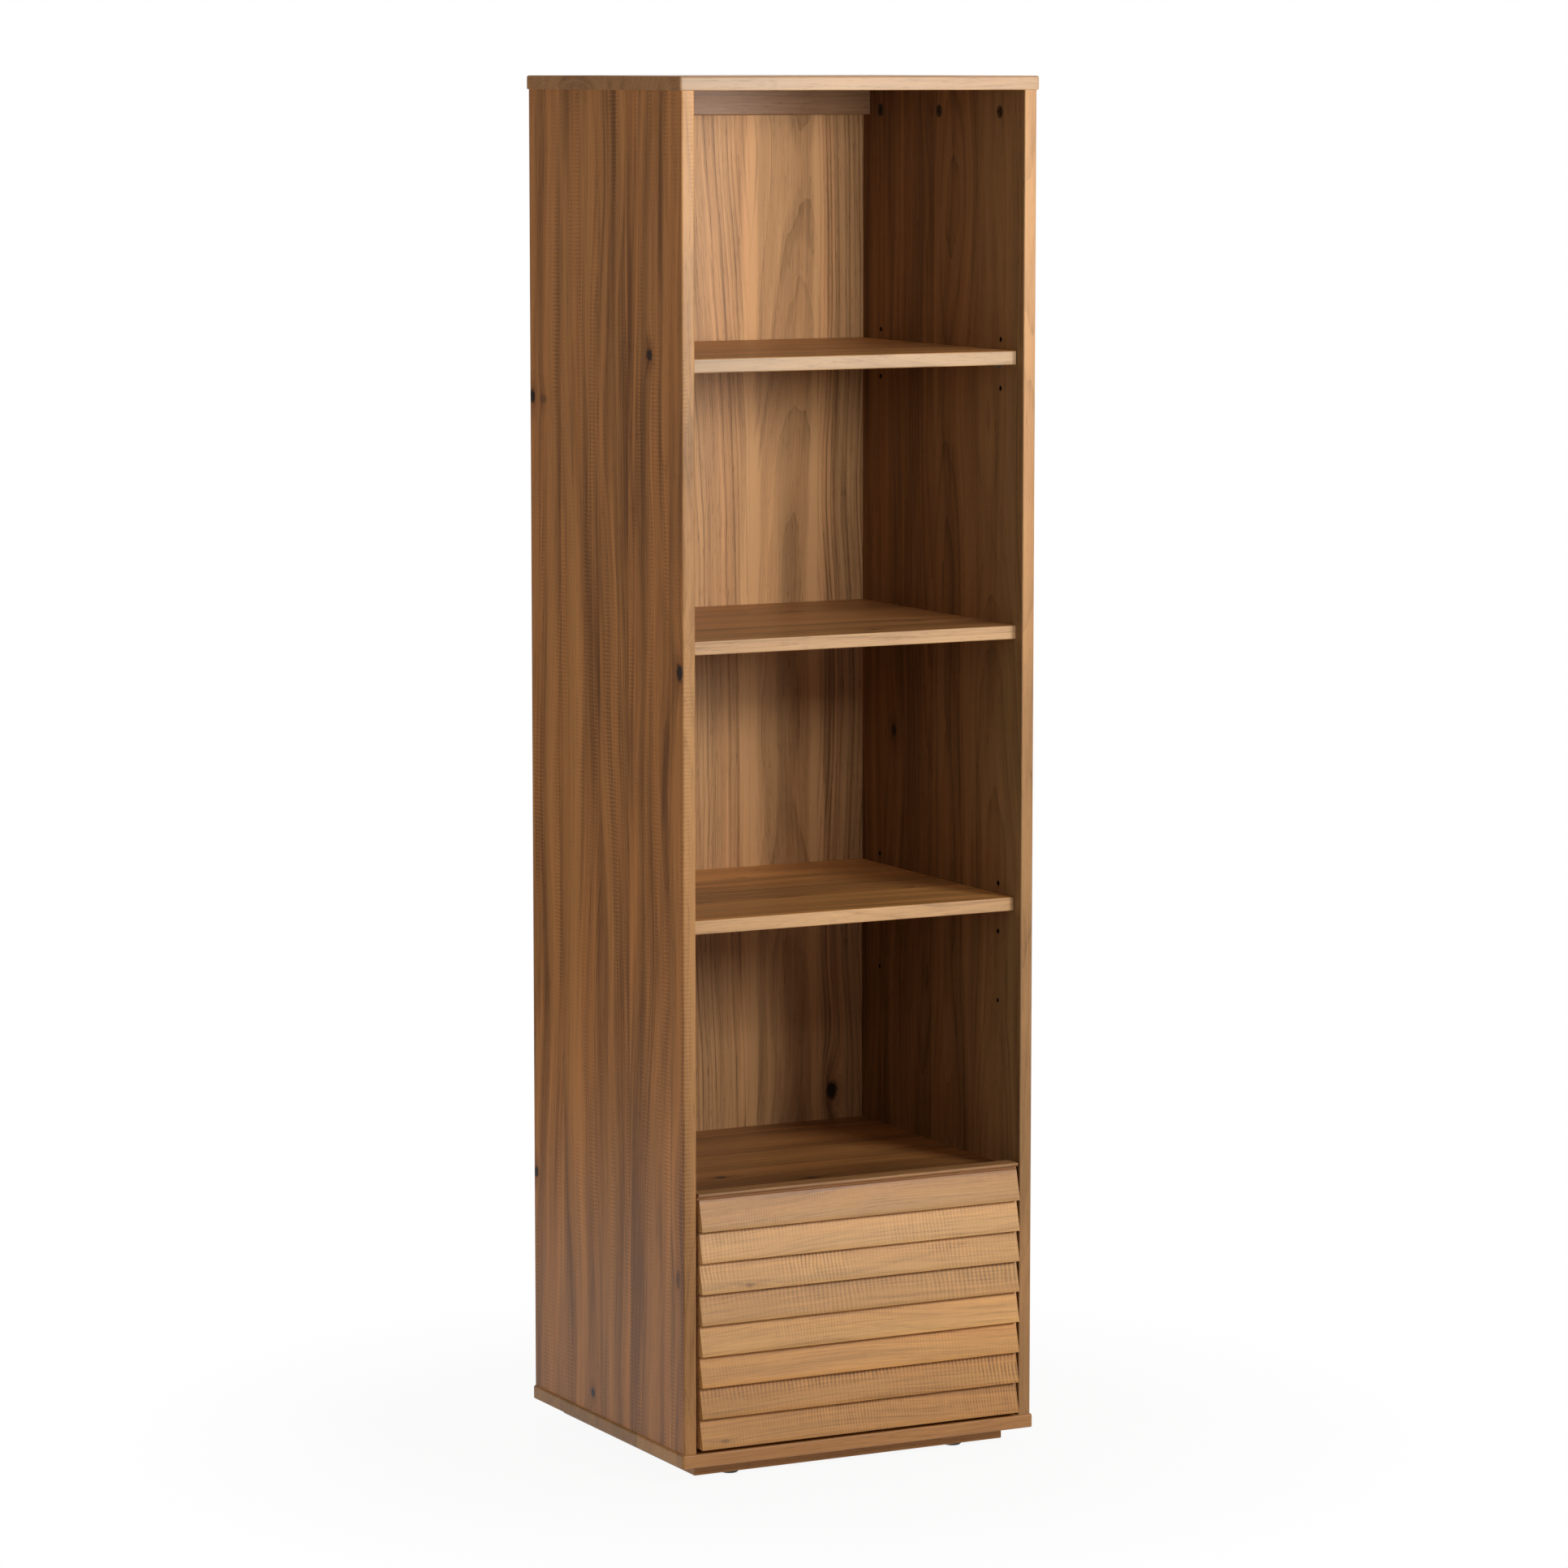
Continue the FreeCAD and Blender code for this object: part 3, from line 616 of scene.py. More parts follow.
CAST_ZINC = MetalFinish("cast_zinc", (84, 76, 64), (34, 29, 24), 0.3, (600.0, 600.0, 600.0))
SCREW_STEEL = MetalFinish("screw_steel", (172, 168, 158), (120, 114, 104), 0.36, (700.0, 700.0, 700.0))
RUNNER_STEEL = MetalFinish("runner_steel", (188, 190, 192), (140, 142, 146), 0.34, (1400.0, 30.0, 1400.0))
BLACK_PLASTIC = MetalFinish(
    "black_plastic", (46, 40, 36), (26, 22, 20), 0.55, (1500.0, 1500.0, 1500.0), metallic=0.0
)


def new_material(name: str) -> tuple[bpy.types.Material, Sheet, bpy.types.Node]:
    """Start a material.

    Args:
        name: The material's name.

    Returns:
        The material, its sheet and its surface shader.
    """
    material = bpy.data.materials.new(name)
    material.use_nodes = True
    return material, Sheet(material.node_tree), material.node_tree.nodes["Principled BSDF"]


class Finisher:
    """Makes the materials, each from its finish, with the shared effects built once."""

    # How far down the painted shade under the slat above reaches.
    painted_shade_reach = 6.0 * MILLIMETRE
    rim_shade_share = 0.85
    turned_half, turned_fully = 0.5, 0.9
    metal_rough_range = 0.2

    def __init__(self) -> None:
        """Build the shared effects."""
        self.knot = knot_effect()
        self.bore = bore_effect()
        self.rim = rim_effect()
        self.board = board_effect(stave_effect(), ring_effect(), saw_effect())
        self.speckle = speckle_effect()

    def wood(self, name: str, finish: WoodFinish, low: Vector, high: Vector) -> bpy.types.Material:
        """Make the material of one board.

        Args:
            name: The material's name.
            finish: The board's finish.
            low: Lowest corner of the board.
            high: Highest corner of the board.

        Returns:
            The material.
        """
        material, sheet, shader = new_material(name)
        coordinate = sheet.place("ShaderNodeTexCoord", {})
        axes = dict(zip("XYZ", sheet.split(coordinate["Object"])))
        along, across, through = (axes[letter] for letter in finish.grain.value)
        mid_depth = ((low + high) / 2)["XYZ".index(finish.grain.value[2])]
        place = sheet.joined(along, across, through - mid_depth)
        tone = display_colour(finish.tone)
        feeds = finish.plain_feeds() | {"Place": place, "Width": finish.stave, "Middle": tone}
        feeds |= self.knots(sheet, place, finish.knots)
        rightward, rearward, _ = sheet.split(coordinate["Normal"])
        # Front faces get the edge colour, partly their own tone and partly painted sheen.
        if finish.edge:
            feeds["Edge"] = display_colour(finish.edge)
            feeds["Edge Share"] = sheet.rise(rearward * -1.0, self.turned_half, self.turned_fully)
        # Faces turned right take the outer colour; the darker tone left on the right side panel's inner face
        # is painted shade.
        if finish.outer:
            outer_share = sheet.rise(rightward, self.turned_half, self.turned_fully)
            feeds["Middle"] = sheet.mix(outer_share, tone, display_colour(finish.outer))
        # Painted shade and highlight that follow the slat's cut ripple.
        if finish.ripple_shade_weight:
            ripple_shade = sheet.place("ShaderNodeAttribute", {}, attribute_name=RIPPLE_SHADE)["Fac"]
            feeds["Ripple Shade"] = ripple_shade * finish.ripple_shade_weight
        # Painted shade on the top strip of a slat, under the slat above, carried in with the knots' halos.
        if finish.recess:
            painted_shade_under_slat = sheet.rise(axes["Z"], finish.recess - self.painted_shade_reach, finish.recess)
            feeds["Halo"] = sheet.math("MAXIMUM", painted_shade_under_slat, feeds["Halo"])
        # The holes' walls and rims get painted shade.
        if finish.holes:
            box = {"Place": coordinate["Object"], "Low": tuple(low), "High": tuple(high)}
            feeds["Painted Bore Shade"] = self.rims(sheet, place, finish.holes, sheet.use(self.bore, box)["Inside"])
        board = sheet.use(self.board, feeds)
        self.surface(sheet, shader, board["Colour"], board["Roughness"], board["Height"])
        shader.inputs["Specular IOR Level"].default_value = finish.gloss
        return material

    def knots(self, sheet: Sheet, place: Feed, knots: tuple[Knot, ...]) -> dict[str, Feed]:
        """Place a board's knots and join what they do.

        Args:
            sheet: The material's sheet.
            place: The place along, across and through the board.
            knots: The knots.

        Returns:
            What the board is fed for them.
        """
        joined: dict[str, Feed] = {"Bend": 0.0, "Heart": 0.0, "Halo": 0.0}
        for knot in knots:
            outputs = sheet.use(self.knot, {
                "Place": place, "Centre": (knot.along, knot.across, 0.0), "Length": knot.length,
                "Width": knot.width, "Lift": knot.lift, "Darkness": knot.darkness,
            })
            for label in joined:
                operation = "ADD" if label == "Bend" else "MAXIMUM"
                joined[label] = sheet.math(operation, outputs[label], joined[label])
        return joined

    def rims(self, sheet: Sheet, place: Feed, holes: tuple[Spot, ...], inside: Feed) -> Feed:
        """Paint shade on the rims of a board's holes.

        Args:
            sheet: The material's sheet.
            place: The place along, across and through the board.
            holes: The middle of each hole's mouth.
            inside: The mask of the holes' walls.

        Returns:
            The mask of painted shade on walls and rims.
        """
        joined = inside
        for hole in holes:
            rim = sheet.use(self.rim, {"Place": place, "Centre": hole})["Rim"]
            joined = sheet.math("MAXIMUM", rim * self.rim_shade_share, joined)
        return joined

    def metal(self, finish: MetalFinish) -> bpy.types.Material:
        """Make the material of a metal or a moulded plastic.

        Args:
            finish: Its finish.

        Returns:
            The material.
        """
        material, sheet, shader = new_material(finish.name)
        place = sheet.place("ShaderNodeTexCoord", {})["Object"]
        specks = sheet.use(self.speckle, {"Place": place, "Fineness": finish.fineness})
        share = sheet.rise(specks["Mask"], 0.3, 0.7)
        colour = sheet.mix(share, display_colour(finish.dull), display_colour(finish.bright))
        rough = finish.roughness - (specks["Mask"] - 0.5) * self.metal_rough_range
        self.surface(sheet, shader, colour, rough, specks["Height"])
        shader.inputs["Metallic"].default_value = finish.metallic
        return material

    @staticmethod
    def surface(sheet: Sheet, shader: bpy.types.Node, colour: Feed, rough: Feed, height: Feed) -> None:
        """Feed a surface shader.

        Args:
            sheet: The material's sheet.
            shader: Its surface shader.
            colour: The base colour.
            rough: The roughness.
            height: The surface height in metres.
        """
        bump = sheet.place("ShaderNodeBump", {"Strength": 1.0, "Distance": 1.0, "Height": height})
        for label, value in (("Base Color", colour), ("Roughness", rough), ("Normal", bump["Normal"])):
            sheet.feed(shader.inputs[label], value)


class Dresser:
    """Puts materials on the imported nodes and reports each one."""

    def __init__(self, nodes: dict, finisher: Finisher) -> None:
        """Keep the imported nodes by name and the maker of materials."""
        self.nodes = nodes
        self.finisher = finisher

    def put(self, item: bpy.types.Object, material: bpy.types.Material) -> None:
        """Give a node or piece its only material.

        Args:
            item: The node or piece.
            material: Its material.
        """
        item.data.materials.clear()
        item.data.materials.append(material)
        LOG.info("%s wears %s", item.name, material.name)

    def board(self, node: str, finish: WoodFinish) -> None:
        """Dress a packed board in wood."""
        low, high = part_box(node)
        self.put(self.nodes[node], self.finisher.wood("wood_" + node, finish, low, high))

    def all_in(self, names: Iterable[str], material: bpy.types.Material) -> None:
        """Dress several nodes in one material."""
        for name in names:
            self.put(self.nodes[name], material)


@dataclass
class Carcass:
    """The outer case: side panels, top, bottom, rail and back."""

    side_knots: tuple[Knot, ...] = (
        Knot(1.2878, -0.1139, 0.0085, 0.0100, 0.010),
        Knot(1.2257, 0.1990, 0.0110, 0.0090),
        Knot(1.2240, 0.1700, 0.0070, 0.0130, 0.006, 0.4),
        Knot(0.9344, -0.1890, 0.0135, 0.0110),
        Knot(0.2392, -0.1814, 0.0150, 0.0070, 0.004, 0.6),
        Knot(0.0604, 0.0452, 0.0070, 0.0070, 0.004),
        Knot(0.2985, 0.2004, 0.0090, 0.0090),
    )
    inner_knots: tuple[Knot, ...] = (Knot(0.8157, 0.1142, 0.0100, 0.0080),)
    back_knots: tuple[Knot, ...] = (Knot(0.3654, 0.1691, 0.0150, 0.0100, 0.014),)
    pin_levels: tuple[float, ...] = (0.6049, 0.6332, 0.6615, 1.2404, 1.2687, 1.2970)
    pin_rows: tuple[float, ...] = (-0.14325, 0.14925)
    inner_depth: float = 0.008
    back_stave: float = 0.0915
    back_joint: float = 0.057

    def pin_holes(self, depth: float) -> tuple[Spot, ...]:
        """List the mouths of a side's pin holes, whose inner face lies so far from the board's middle."""
        return tuple((level, row, depth) for level in self.pin_levels for row in self.pin_rows)

    def dress(self, dresser: Dresser) -> None:
        """Dress every board of the case.

        Args:
            dresser: Puts the materials on.
        """
        side = {"grain": Grain.UPRIGHT_SIDE, "stave": 0.1, "pitch": 0.0047, "figure": 0.5}
        dresser.board("side_panel_left", WoodFinish(
            seed=8.0, tone=(177, 117, 65), edge=(174, 127, 79), saw=0.15, streak=2.1, variety=0.12, stain=1.0,
            gloss=0.2, knots=self.side_knots, holes=self.pin_holes(self.inner_depth), **side,
        ))
        # The right panel's tone, seen on its inner face, is darkened as painted shade; its outer face keeps a
        # plain tone.
        dresser.board("side_panel_right", WoodFinish(
            seed=11.0, tone=(132, 97, 60), edge=(167, 126, 84), outer=(177, 120, 70), saw=0.0, streak=1.4,
            variety=0.35, stain=0.2, gloss=0.15, knots=self.inner_knots,
            holes=self.pin_holes(-self.inner_depth), **side,
        ))
        dresser.board("top_panel", WoodFinish(Grain.LEVEL, 21.0, (166, 118, 74), edge=(160, 129, 97)))
        dresser.board("bottom_panel", WoodFinish(
            Grain.LEVEL, 22.0, (176, 127, 75), edge=(183, 132, 82), streak=0.5, figure=0.3,
        ))
        dresser.board("top_rear_rail", WoodFinish(Grain.FRONT, 23.0, (137, 100, 68), stave=0.2, figure=0.3))
        dresser.board("back_panel", WoodFinish(
            Grain.UPRIGHT_BACK, 48.0, (176, 132, 89), stave=self.back_stave,
            phase=-self.back_joint / self.back_stave, uneven=0.0, figure=0.85, streak=0.8, variety=0.35,
            saw=0.04, sapwood=0.7, gloss=0.15, knots=self.back_knots,
        ))


@dataclass
class Shelves:
    """The two loose shelves, the fixed shelf and the divider over the drawer."""

    fixed_knots: tuple[Knot, ...] = (
        Knot(0.0420, -0.1474, 0.0130, 0.0040),
        Knot(0.1361, -0.0780, 0.0110, 0.0040),
    )
    divider_knots: tuple[Knot, ...] = (
        Knot(-0.1223, -0.0813, 0.0110, 0.0070),
        Knot(-0.0286, -0.1296, 0.0120, 0.0060),
    )

    def dress(self, dresser: Dresser) -> None:
        """Dress the shelves.

        Args:
            dresser: Puts the materials on.
        """
        boards = (
            ("upper_shelf", 41.0, (179, 129, 77), (158, 128, 95), ()),
            ("fixed_shelf", 43.0, (167, 119, 72), (190, 151, 109), self.fixed_knots),
            # The lower shelf's tone and edge are lighter to offset the shade that falls on it: painted light.
            ("lower_shelf", 42.0, (199, 141, 81), (199, 154, 109), ()),
            ("drawer_divider", 44.0, (163, 113, 64), (170, 122, 74), self.divider_knots),
        )
        for node, seed, tone, edge, knots in boards:
            dresser.board(node, WoodFinish(
                Grain.LEVEL, seed, tone, edge=edge, figure=0.6, streak=1.5, variety=0.4, knots=knots,
            ))


@dataclass
class Plinth:
    """The battens under the case."""

    tone: Shade = (178, 128, 77)

    def dress(self, dresser: Dresser) -> None:
        """Dress the battens.

        Args:
            dresser: Puts the materials on.
        """
        for seed, node in enumerate(("plinth_front", "plinth_rear"), 51):
            dresser.board(node, WoodFinish(Grain.FRONT, seed, self.tone, stave=0.2, streak=0.5, figure=0.3))
        for seed, node in enumerate(("plinth_left", "plinth_right"), 53):
            dresser.board(node, WoodFinish(Grain.LEVEL_DEEP, seed, self.tone, stave=0.2))


def finished_piece(name: str, mesh: bmesh.types.BMesh) -> bpy.types.Object:
    """Turn a modelled mesh into a piece of the scene.

    Args:
        name: The piece's name.
        mesh: Its mesh, which is used up.

    Returns:
        The piece, at the origin.
    """
    sharp_angle = math.radians(35)
    bmesh.ops.recalc_face_normals(mesh, faces=mesh.faces)
    data = bpy.data.meshes.new(name)
    mesh.to_mesh(data)
    mesh.free()
    data.shade_smooth()
    data.set_sharp_from_angle(angle=sharp_angle)
    piece = bpy.data.objects.new(name, data)
    bpy.context.scene.collection.objects.link(piece)
    return piece


@dataclass(frozen=True)
class Slat:
    """One slat's saw ripple and look: pitch, fade downwards, strength at each end, stain and tone."""

    pitch: float
    fade: float
    left: float
    right: float
    stain: float
    tone: Shade
    knots: tuple[Knot, ...] = ()

    def strength(self, along: float, up: float) -> float:
        """How strong the ripple is, from 0 to 1, at a share of the slat's length and height."""
        return (1.0 - self.fade * (1.0 - up)) * (self.left + (self.right - self.left) * along)


@dataclass
class DrawerFront:
    """The louvred front: its board, cap and sawn slats, listed from the top."""

    slats: tuple[Slat, ...] = (
        Slat(3.36 * MILLIMETRE, 0.3, 0.35, 0.3, 0.6, (191, 142, 90)),
        Slat(4.7 * MILLIMETRE, 0.7, 0.45, 0.5, 0.15, (208, 158, 102)),
        Slat(4.9 * MILLIMETRE, 0.7, 0.85, 0.45, 0.2, (199, 151, 96),
             (Knot(-0.1462, 0.2290, 0.0080, 0.0030, 0.006, 0.4),)),
        Slat(5.6 * MILLIMETRE, 0.4, 0.25, 0.55, 0.5, (189, 140, 86)),
        Slat(4.0 * MILLIMETRE, 0.7, 0.4, 0.15, 0.15, (207, 155, 94)),
        Slat(4.1 * MILLIMETRE, 0.5, 0.2, 0.2, 0.15, (203, 146, 84)),
        Slat(5.0 * MILLIMETRE, 0.35, 0.4, 1.0, 0.3, (186, 132, 74)),
        Slat(3.8 * MILLIMETRE, 0.5, 0.65, 0.45, 0.6, (187, 133, 75),
             (Knot(-0.1782, 0.0497, 0.0080, 0.0030, 0.004, 0.35),)),
    )
    top_thickness: float = 3.0 * MILLIMETRE
    edge_radius: float = 0.8 * MILLIMETRE
    ripple_depth: float = 0.2 * MILLIMETRE
    step_along: float = 0.75 * MILLIMETRE
    rear_skin: float = 2.0 * MILLIMETRE
    rows_across: int = 6
    first_seed: float = 61.0
    phase_step: float = 0.37
    board_tone: Shade = (172, 120, 74)
    cap_tone: Shade = (164, 118, 75)

    def build(self, dresser: Dresser) -> None:
        """Model the slats, and dress them, the board and the cap.

        Args:
            dresser: Puts the materials on.
        """
        for number, slat in enumerate(self.slats, 1):
            node = "drawer_slat_%d" % number
            low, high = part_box(node)
            piece = self.model("louvre_slat_%d" % number, low, high, number, slat)
            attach(piece, "drawer")
            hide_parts(node)
            # Each slat's top strip, under the slat above, gets painted shade through recess.
            finish = WoodFinish(
                Grain.FRONT, self.first_seed + number - 1, slat.tone, stave=0.2,
                phase=self.phase_step * number, variety=0.0, figure=0.3, streak=0.75, saw=0.0,
                stain=slat.stain, pores=0.08, ripple_shade_weight=0.62, recess=high.z, knots=slat.knots,
            )
            dresser.put(piece, dresser.finisher.wood("wood_slat_%d" % number, finish, low, high))
        dresser.board("drawer_front_board", WoodFinish(Grain.FRONT, 71.0, self.board_tone))
        dresser.board("drawer_front_cap", WoodFinish(Grain.FRONT, 72.0, self.cap_tone, stave=0.2))

    def model(self, name: str, low: Vector, high: Vector, number: int, slat: Slat) -> bpy.types.Object:
        """Model one clapboard slat with the saw's ripple across its face.

        Args:
            name: The piece's name.
            low: Lowest corner of the slat's space.
            high: Highest corner of the slat's space.
            number: Its number from the top.
            slat: Its ripple.

        Returns:
            The piece.
        """
        most_height, most_length = 0.8, 0.9
        size, middle = high - low, (high + low) / 2
        mesh = bmesh.new()
        bmesh.ops.create_cube(mesh, size=1.0)
        bmesh.ops.scale(mesh, vec=size, verts=mesh.verts)
        bmesh.ops.translate(mesh, vec=middle, verts=mesh.verts)
        front = [v for v in mesh.verts if v.co.y < middle.y]
        upper_front = [v for v in front if v.co.z > middle.z]
        lower_front = [v for v in front if v.co.z < middle.z]
        for vertex in upper_front:
            vertex.co.y = high.y - self.top_thickness
        eased = [
            e for corners in (lower_front, upper_front) for e in mesh.edges
            if all(v in corners for v in e.verts)
        ]
        bmesh.ops.bevel(
            mesh, geom=eased, offset=self.edge_radius, offset_type="OFFSET", segments=3, profile=0.5,
            affect="EDGES", material=-1,
        )
        mesh.normal_update()
        face_edges = [
            e for e in mesh.edges
            if self.span(e) < MILLIMETRE and e.calc_length() > size.z * most_height
            and max(v.co.y for v in e.verts) < high.y - MILLIMETRE
        ]
        bmesh.ops.subdivide_edges(mesh, edges=face_edges, cuts=self.rows_across, use_grid_fill=True)
        long_edges = [e for e in mesh.edges if self.span(e) > size.x * most_length]
        cuts = int(size.x / self.step_along)
        bmesh.ops.subdivide_edges(mesh, edges=long_edges, cuts=cuts, use_grid_fill=True)
        # The attribute makes the colour darker in the grooves and lighter on the crests: painted shade and
        # highlight.
        ripple_shade = mesh.verts.layers.float.new(RIPPLE_SHADE)
        for vertex in mesh.verts:
            if vertex.co.y < high.y - self.rear_skin:
                along, up = (vertex.co.x - low.x) / size.x, (vertex.co.z - low.z) / size.z
                cut = self.ripple(vertex.co, number, slat.pitch) * slat.strength(along, up)
                vertex[ripple_shade] = -cut
                vertex.co.y += self.ripple_depth * max(0.0, 0.5 + 0.5 * cut)
        return finished_piece(name, mesh)

    @staticmethod
    def span(edge: bmesh.types.BMEdge) -> float:
        """How far an edge runs along the slat."""
        return abs(edge.verts[0].co.x - edge.verts[1].co.x)

    @staticmethod
    def face_noise(spot: Vector, number: int, lumps_along: float, lumps_up: float, shift: float) -> float:
        """Read noise on a slat's face, about -1 to 1, which shifts from slat to slat."""
        return noise.noise(Vector((spot.x * lumps_along, spot.z * lumps_up, number * shift)))

    def ripple(self, spot: Vector, number: int, pitch: float) -> float:
        """How deep the saw cut at one point of a slat's face.

        Args:
            spot: The point.
            number: The slat's number from the top.
            pitch: The ripple's pitch.

        Returns:
            The cut from -1 to 1, which fades between patches.
        """
        waver_reach, groove_power = 1.6 * MILLIMETRE, 1.7
        least_patch, groove_share, stroke_share = 0.3, 0.75, 0.5
        patch = self.face_noise(spot, number, 9.0, 30.0, 5.3) * 1.9 + 0.5
        waver = self.face_noise(spot, number, 45.0, 55.0, 2.1)
        stroke = self.face_noise(spot, number, 160.0, 70.0, 3.7)
        turn = 2 * math.pi * (spot.x + waver_reach * waver) / pitch
        groove = 2.0 * (0.5 + 0.5 * math.sin(turn)) ** groove_power - 0.8
        return min(max(patch, least_patch), 1.0) * (groove_share * groove + stroke_share * stroke)


@dataclass
class DrawerBox:
    """The plain box behind the louvred front."""

    tone: Shade = (208, 172, 128)
    wall_stave: float = 0.07
    bottom_stave: float = 0.6

    def dress(self, dresser: Dresser) -> None:
        """Dress the box.

        Args:
            dresser: Puts the materials on.
        """
        boards = (
            ("drawer_side_left", Grain.SIDE_WALL, self.wall_stave),
            ("drawer_side_right", Grain.SIDE_WALL, self.wall_stave),
            ("drawer_sub_front", Grain.FRONT, self.wall_stave),
            ("drawer_back", Grain.FRONT, self.wall_stave),
            ("drawer_bottom", Grain.LEVEL, self.bottom_stave),
        )
        for seed, (node, grain, stave) in enumerate(boards, 81):
            dresser.board(node, WoodFinish(
                grain, seed, self.tone, stave=stave, figure=0.3, streak=0.5, variety=0.15, saw=0.0, stain=0.0,
            ))


def islands(node: bpy.types.Object) -> list[list[Vector]]:
    """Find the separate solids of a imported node.

    Args:
        node: The node.

    Returns:
        The corner points of each solid.
    """
    mesh = bmesh.new()
    mesh.from_mesh(node.data)
    bmesh.ops.remove_doubles(mesh, verts=mesh.verts, dist=0.001 * MILLIMETRE)
    seen: set[bmesh.types.BMVert] = set()
    groups = []
    for start in mesh.verts:
        if start in seen:
            continue
        seen.add(start)
        group = [start]
        for vertex in group:
            fresh = [edge.other_vert(vertex) for edge in vertex.link_edges]
            fresh = [other for other in fresh if other not in seen]
            seen.update(fresh)
            group += fresh
        groups.append([vertex.co.copy() for vertex in group])
    mesh.free()
    return groups


@dataclass
class Screws:
    """Pan-head screws with a cross recess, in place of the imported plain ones."""

    riders: dict = field(default_factory=lambda: {
        "plinth_screws": "case", "back_panel_screws": "case", "runner_cabinet_screws": "case",
        "drawer_front_screws": "drawer", "drawer_box_screws": "drawer", "runner_drawer_screws": "drawer",
    })
    sides: int = 12
    head_radius: float = 3.5 * MILLIMETRE
    head_height: float = 1.6 * MILLIMETRE
    crown_radius: float = 2.5 * MILLIMETRE
    shank_radius: float = 1.75 * MILLIMETRE
    tip_radius: float = 0.5 * MILLIMETRE
    tip_length: float = 2.5 * MILLIMETRE
    arm_length: float = 1.9 * MILLIMETRE
    arm_half_width: float = 0.45 * MILLIMETRE
    recess_depth: float = 1.1 * MILLIMETRE
    recess_taper: float = 0.6

    def build(self, dresser: Dresser, material: bpy.types.Material) -> None:
        """Model the screws of every screw node.

        Args:
            dresser: Puts the material on.
            material: The screws' metal.
        """
        for node, body in self.riders.items():
            whole = bmesh.new()
            for corners in islands(dresser.nodes[node]):
                self.add_screw(whole, corners)
            piece = finished_piece("cross_" + node, whole)
            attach(piece, body)
            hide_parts(node)
            dresser.put(piece, material)

    def add_screw(self, whole: bmesh.types.BMesh, corners: list[Vector]) -> None:
        """Add one screw where a packed one lies.

        Args:
            whole: The mesh that gets it.
            corners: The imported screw's corner points.
        """
        low = Vector([min(corner[axis] for corner in corners) for axis in range(3)])
        high = Vector([max(corner[axis] for corner in corners) for axis in range(3)])
        middle = (low + high) / 2
        axis = max(range(3), key=lambda number: high[number] - low[number])
        reach = (high[axis] - low[axis]) / 2
        outward = Vector([float(number == axis) for number in range(3)])
        near_top = [c for c in corners if c[axis] > high[axis] - self.head_height / 4]
        spread = max((c - middle - outward * (c - middle).dot(outward)).length for c in near_top)
        if spread < self.shank_radius:
            outward = -outward
        single = self.screw(2 * reach)
        turn = outward.to_track_quat("Z", "Y").to_matrix().to_4x4()
        seat = Matrix.Translation(middle + outward * reach) @ turn
        bmesh.ops.transform(single, matrix=seat, verts=single.verts)
        data = bpy.data.meshes.new("one_screw")
        single.to_mesh(data)
        single.free()
        whole.from_mesh(data)
        bpy.data.meshes.remove(data)

    def screw(self, length: float) -> bmesh.types.BMesh:
        """Model one upright screw with the top of its head at the origin.

        Args:
            length: Its whole length.

        Returns:
            The screw's mesh.
        """
        half = 0.5
        mesh = bmesh.new()
        bmesh.ops.create_grid(mesh, x_segments=3, y_segments=3, size=1.0)
        corner_faces = [f for f in mesh.faces if min(map(abs, f.calc_center_median()[:2])) > half]
        bmesh.ops.delete(mesh, geom=corner_faces, context="FACES")
        for vertex in mesh.verts:
            for axis in range(2):
                size = self.arm_length if abs(vertex.co[axis]) > half else self.arm_half_width
                vertex.co[axis] = math.copysign(size, vertex.co[axis])
        recess = list(mesh.faces)
        outline = [e for e in mesh.edges if e.is_boundary]
        crown = bmesh.ops.create_circle(mesh, segments=self.sides, radius=self.crown_radius)["verts"]
        crown_edges = [e for e in mesh.edges if all(v in crown for v in e.verts)]
        bmesh.ops.bridge_loops(mesh, edges=outline + crown_edges)
        sunk = bmesh.ops.extrude_face_region(mesh, geom=recess)["geom"]
        floor = [item for item in sunk if isinstance(item, bmesh.types.BMVert)]
        bmesh.ops.scale(mesh, vec=(self.recess_taper, self.recess_taper, 1.0), verts=floor)
        bmesh.ops.translate(mesh, vec=(0.0, 0.0, -self.recess_depth), verts=floor)
        bmesh.ops.delete(mesh, geom=[f for f in recess if f.is_valid], context="FACES_ONLY")
        rings = (
            (self.head_radius, -self.head_height / 2), (self.head_radius, -self.head_height),
            (self.shank_radius, -self.head_height), (self.shank_radius, self.tip_length - length),
            (self.tip_radius, -length),
        )
        edge_loop = crown_edges
        for radius, level in rings:
            edge_loop = self.next_ring(mesh, edge_loop, radius, level)
        bmesh.ops.contextual_create(mesh, geom=edge_loop)
        return mesh

    @staticmethod
    def next_ring(mesh: bmesh.types.BMesh, edges: list, radius: float, level: float) -> list:
        """Draw a ring of edges out to the next ring of a turned form.

        Args:
            mesh: The screw's mesh.
            edges: The ring to start from.
            radius: The next ring's radius.
            level: The next ring's height.

        Returns:
            The next ring's edges.
        """
        drawn = bmesh.ops.extrude_edge_only(mesh, edges=edges)["geom"]
        corners = {item for item in drawn if isinstance(item, bmesh.types.BMVert)}
        for vertex in corners:
            flat = vertex.co.to_2d().normalized() * radius
            vertex.co = (flat.x, flat.y, level)
        return [
            item for item in drawn
            if isinstance(item, bmesh.types.BMEdge) and all(vertex in corners for vertex in item.verts)
        ]


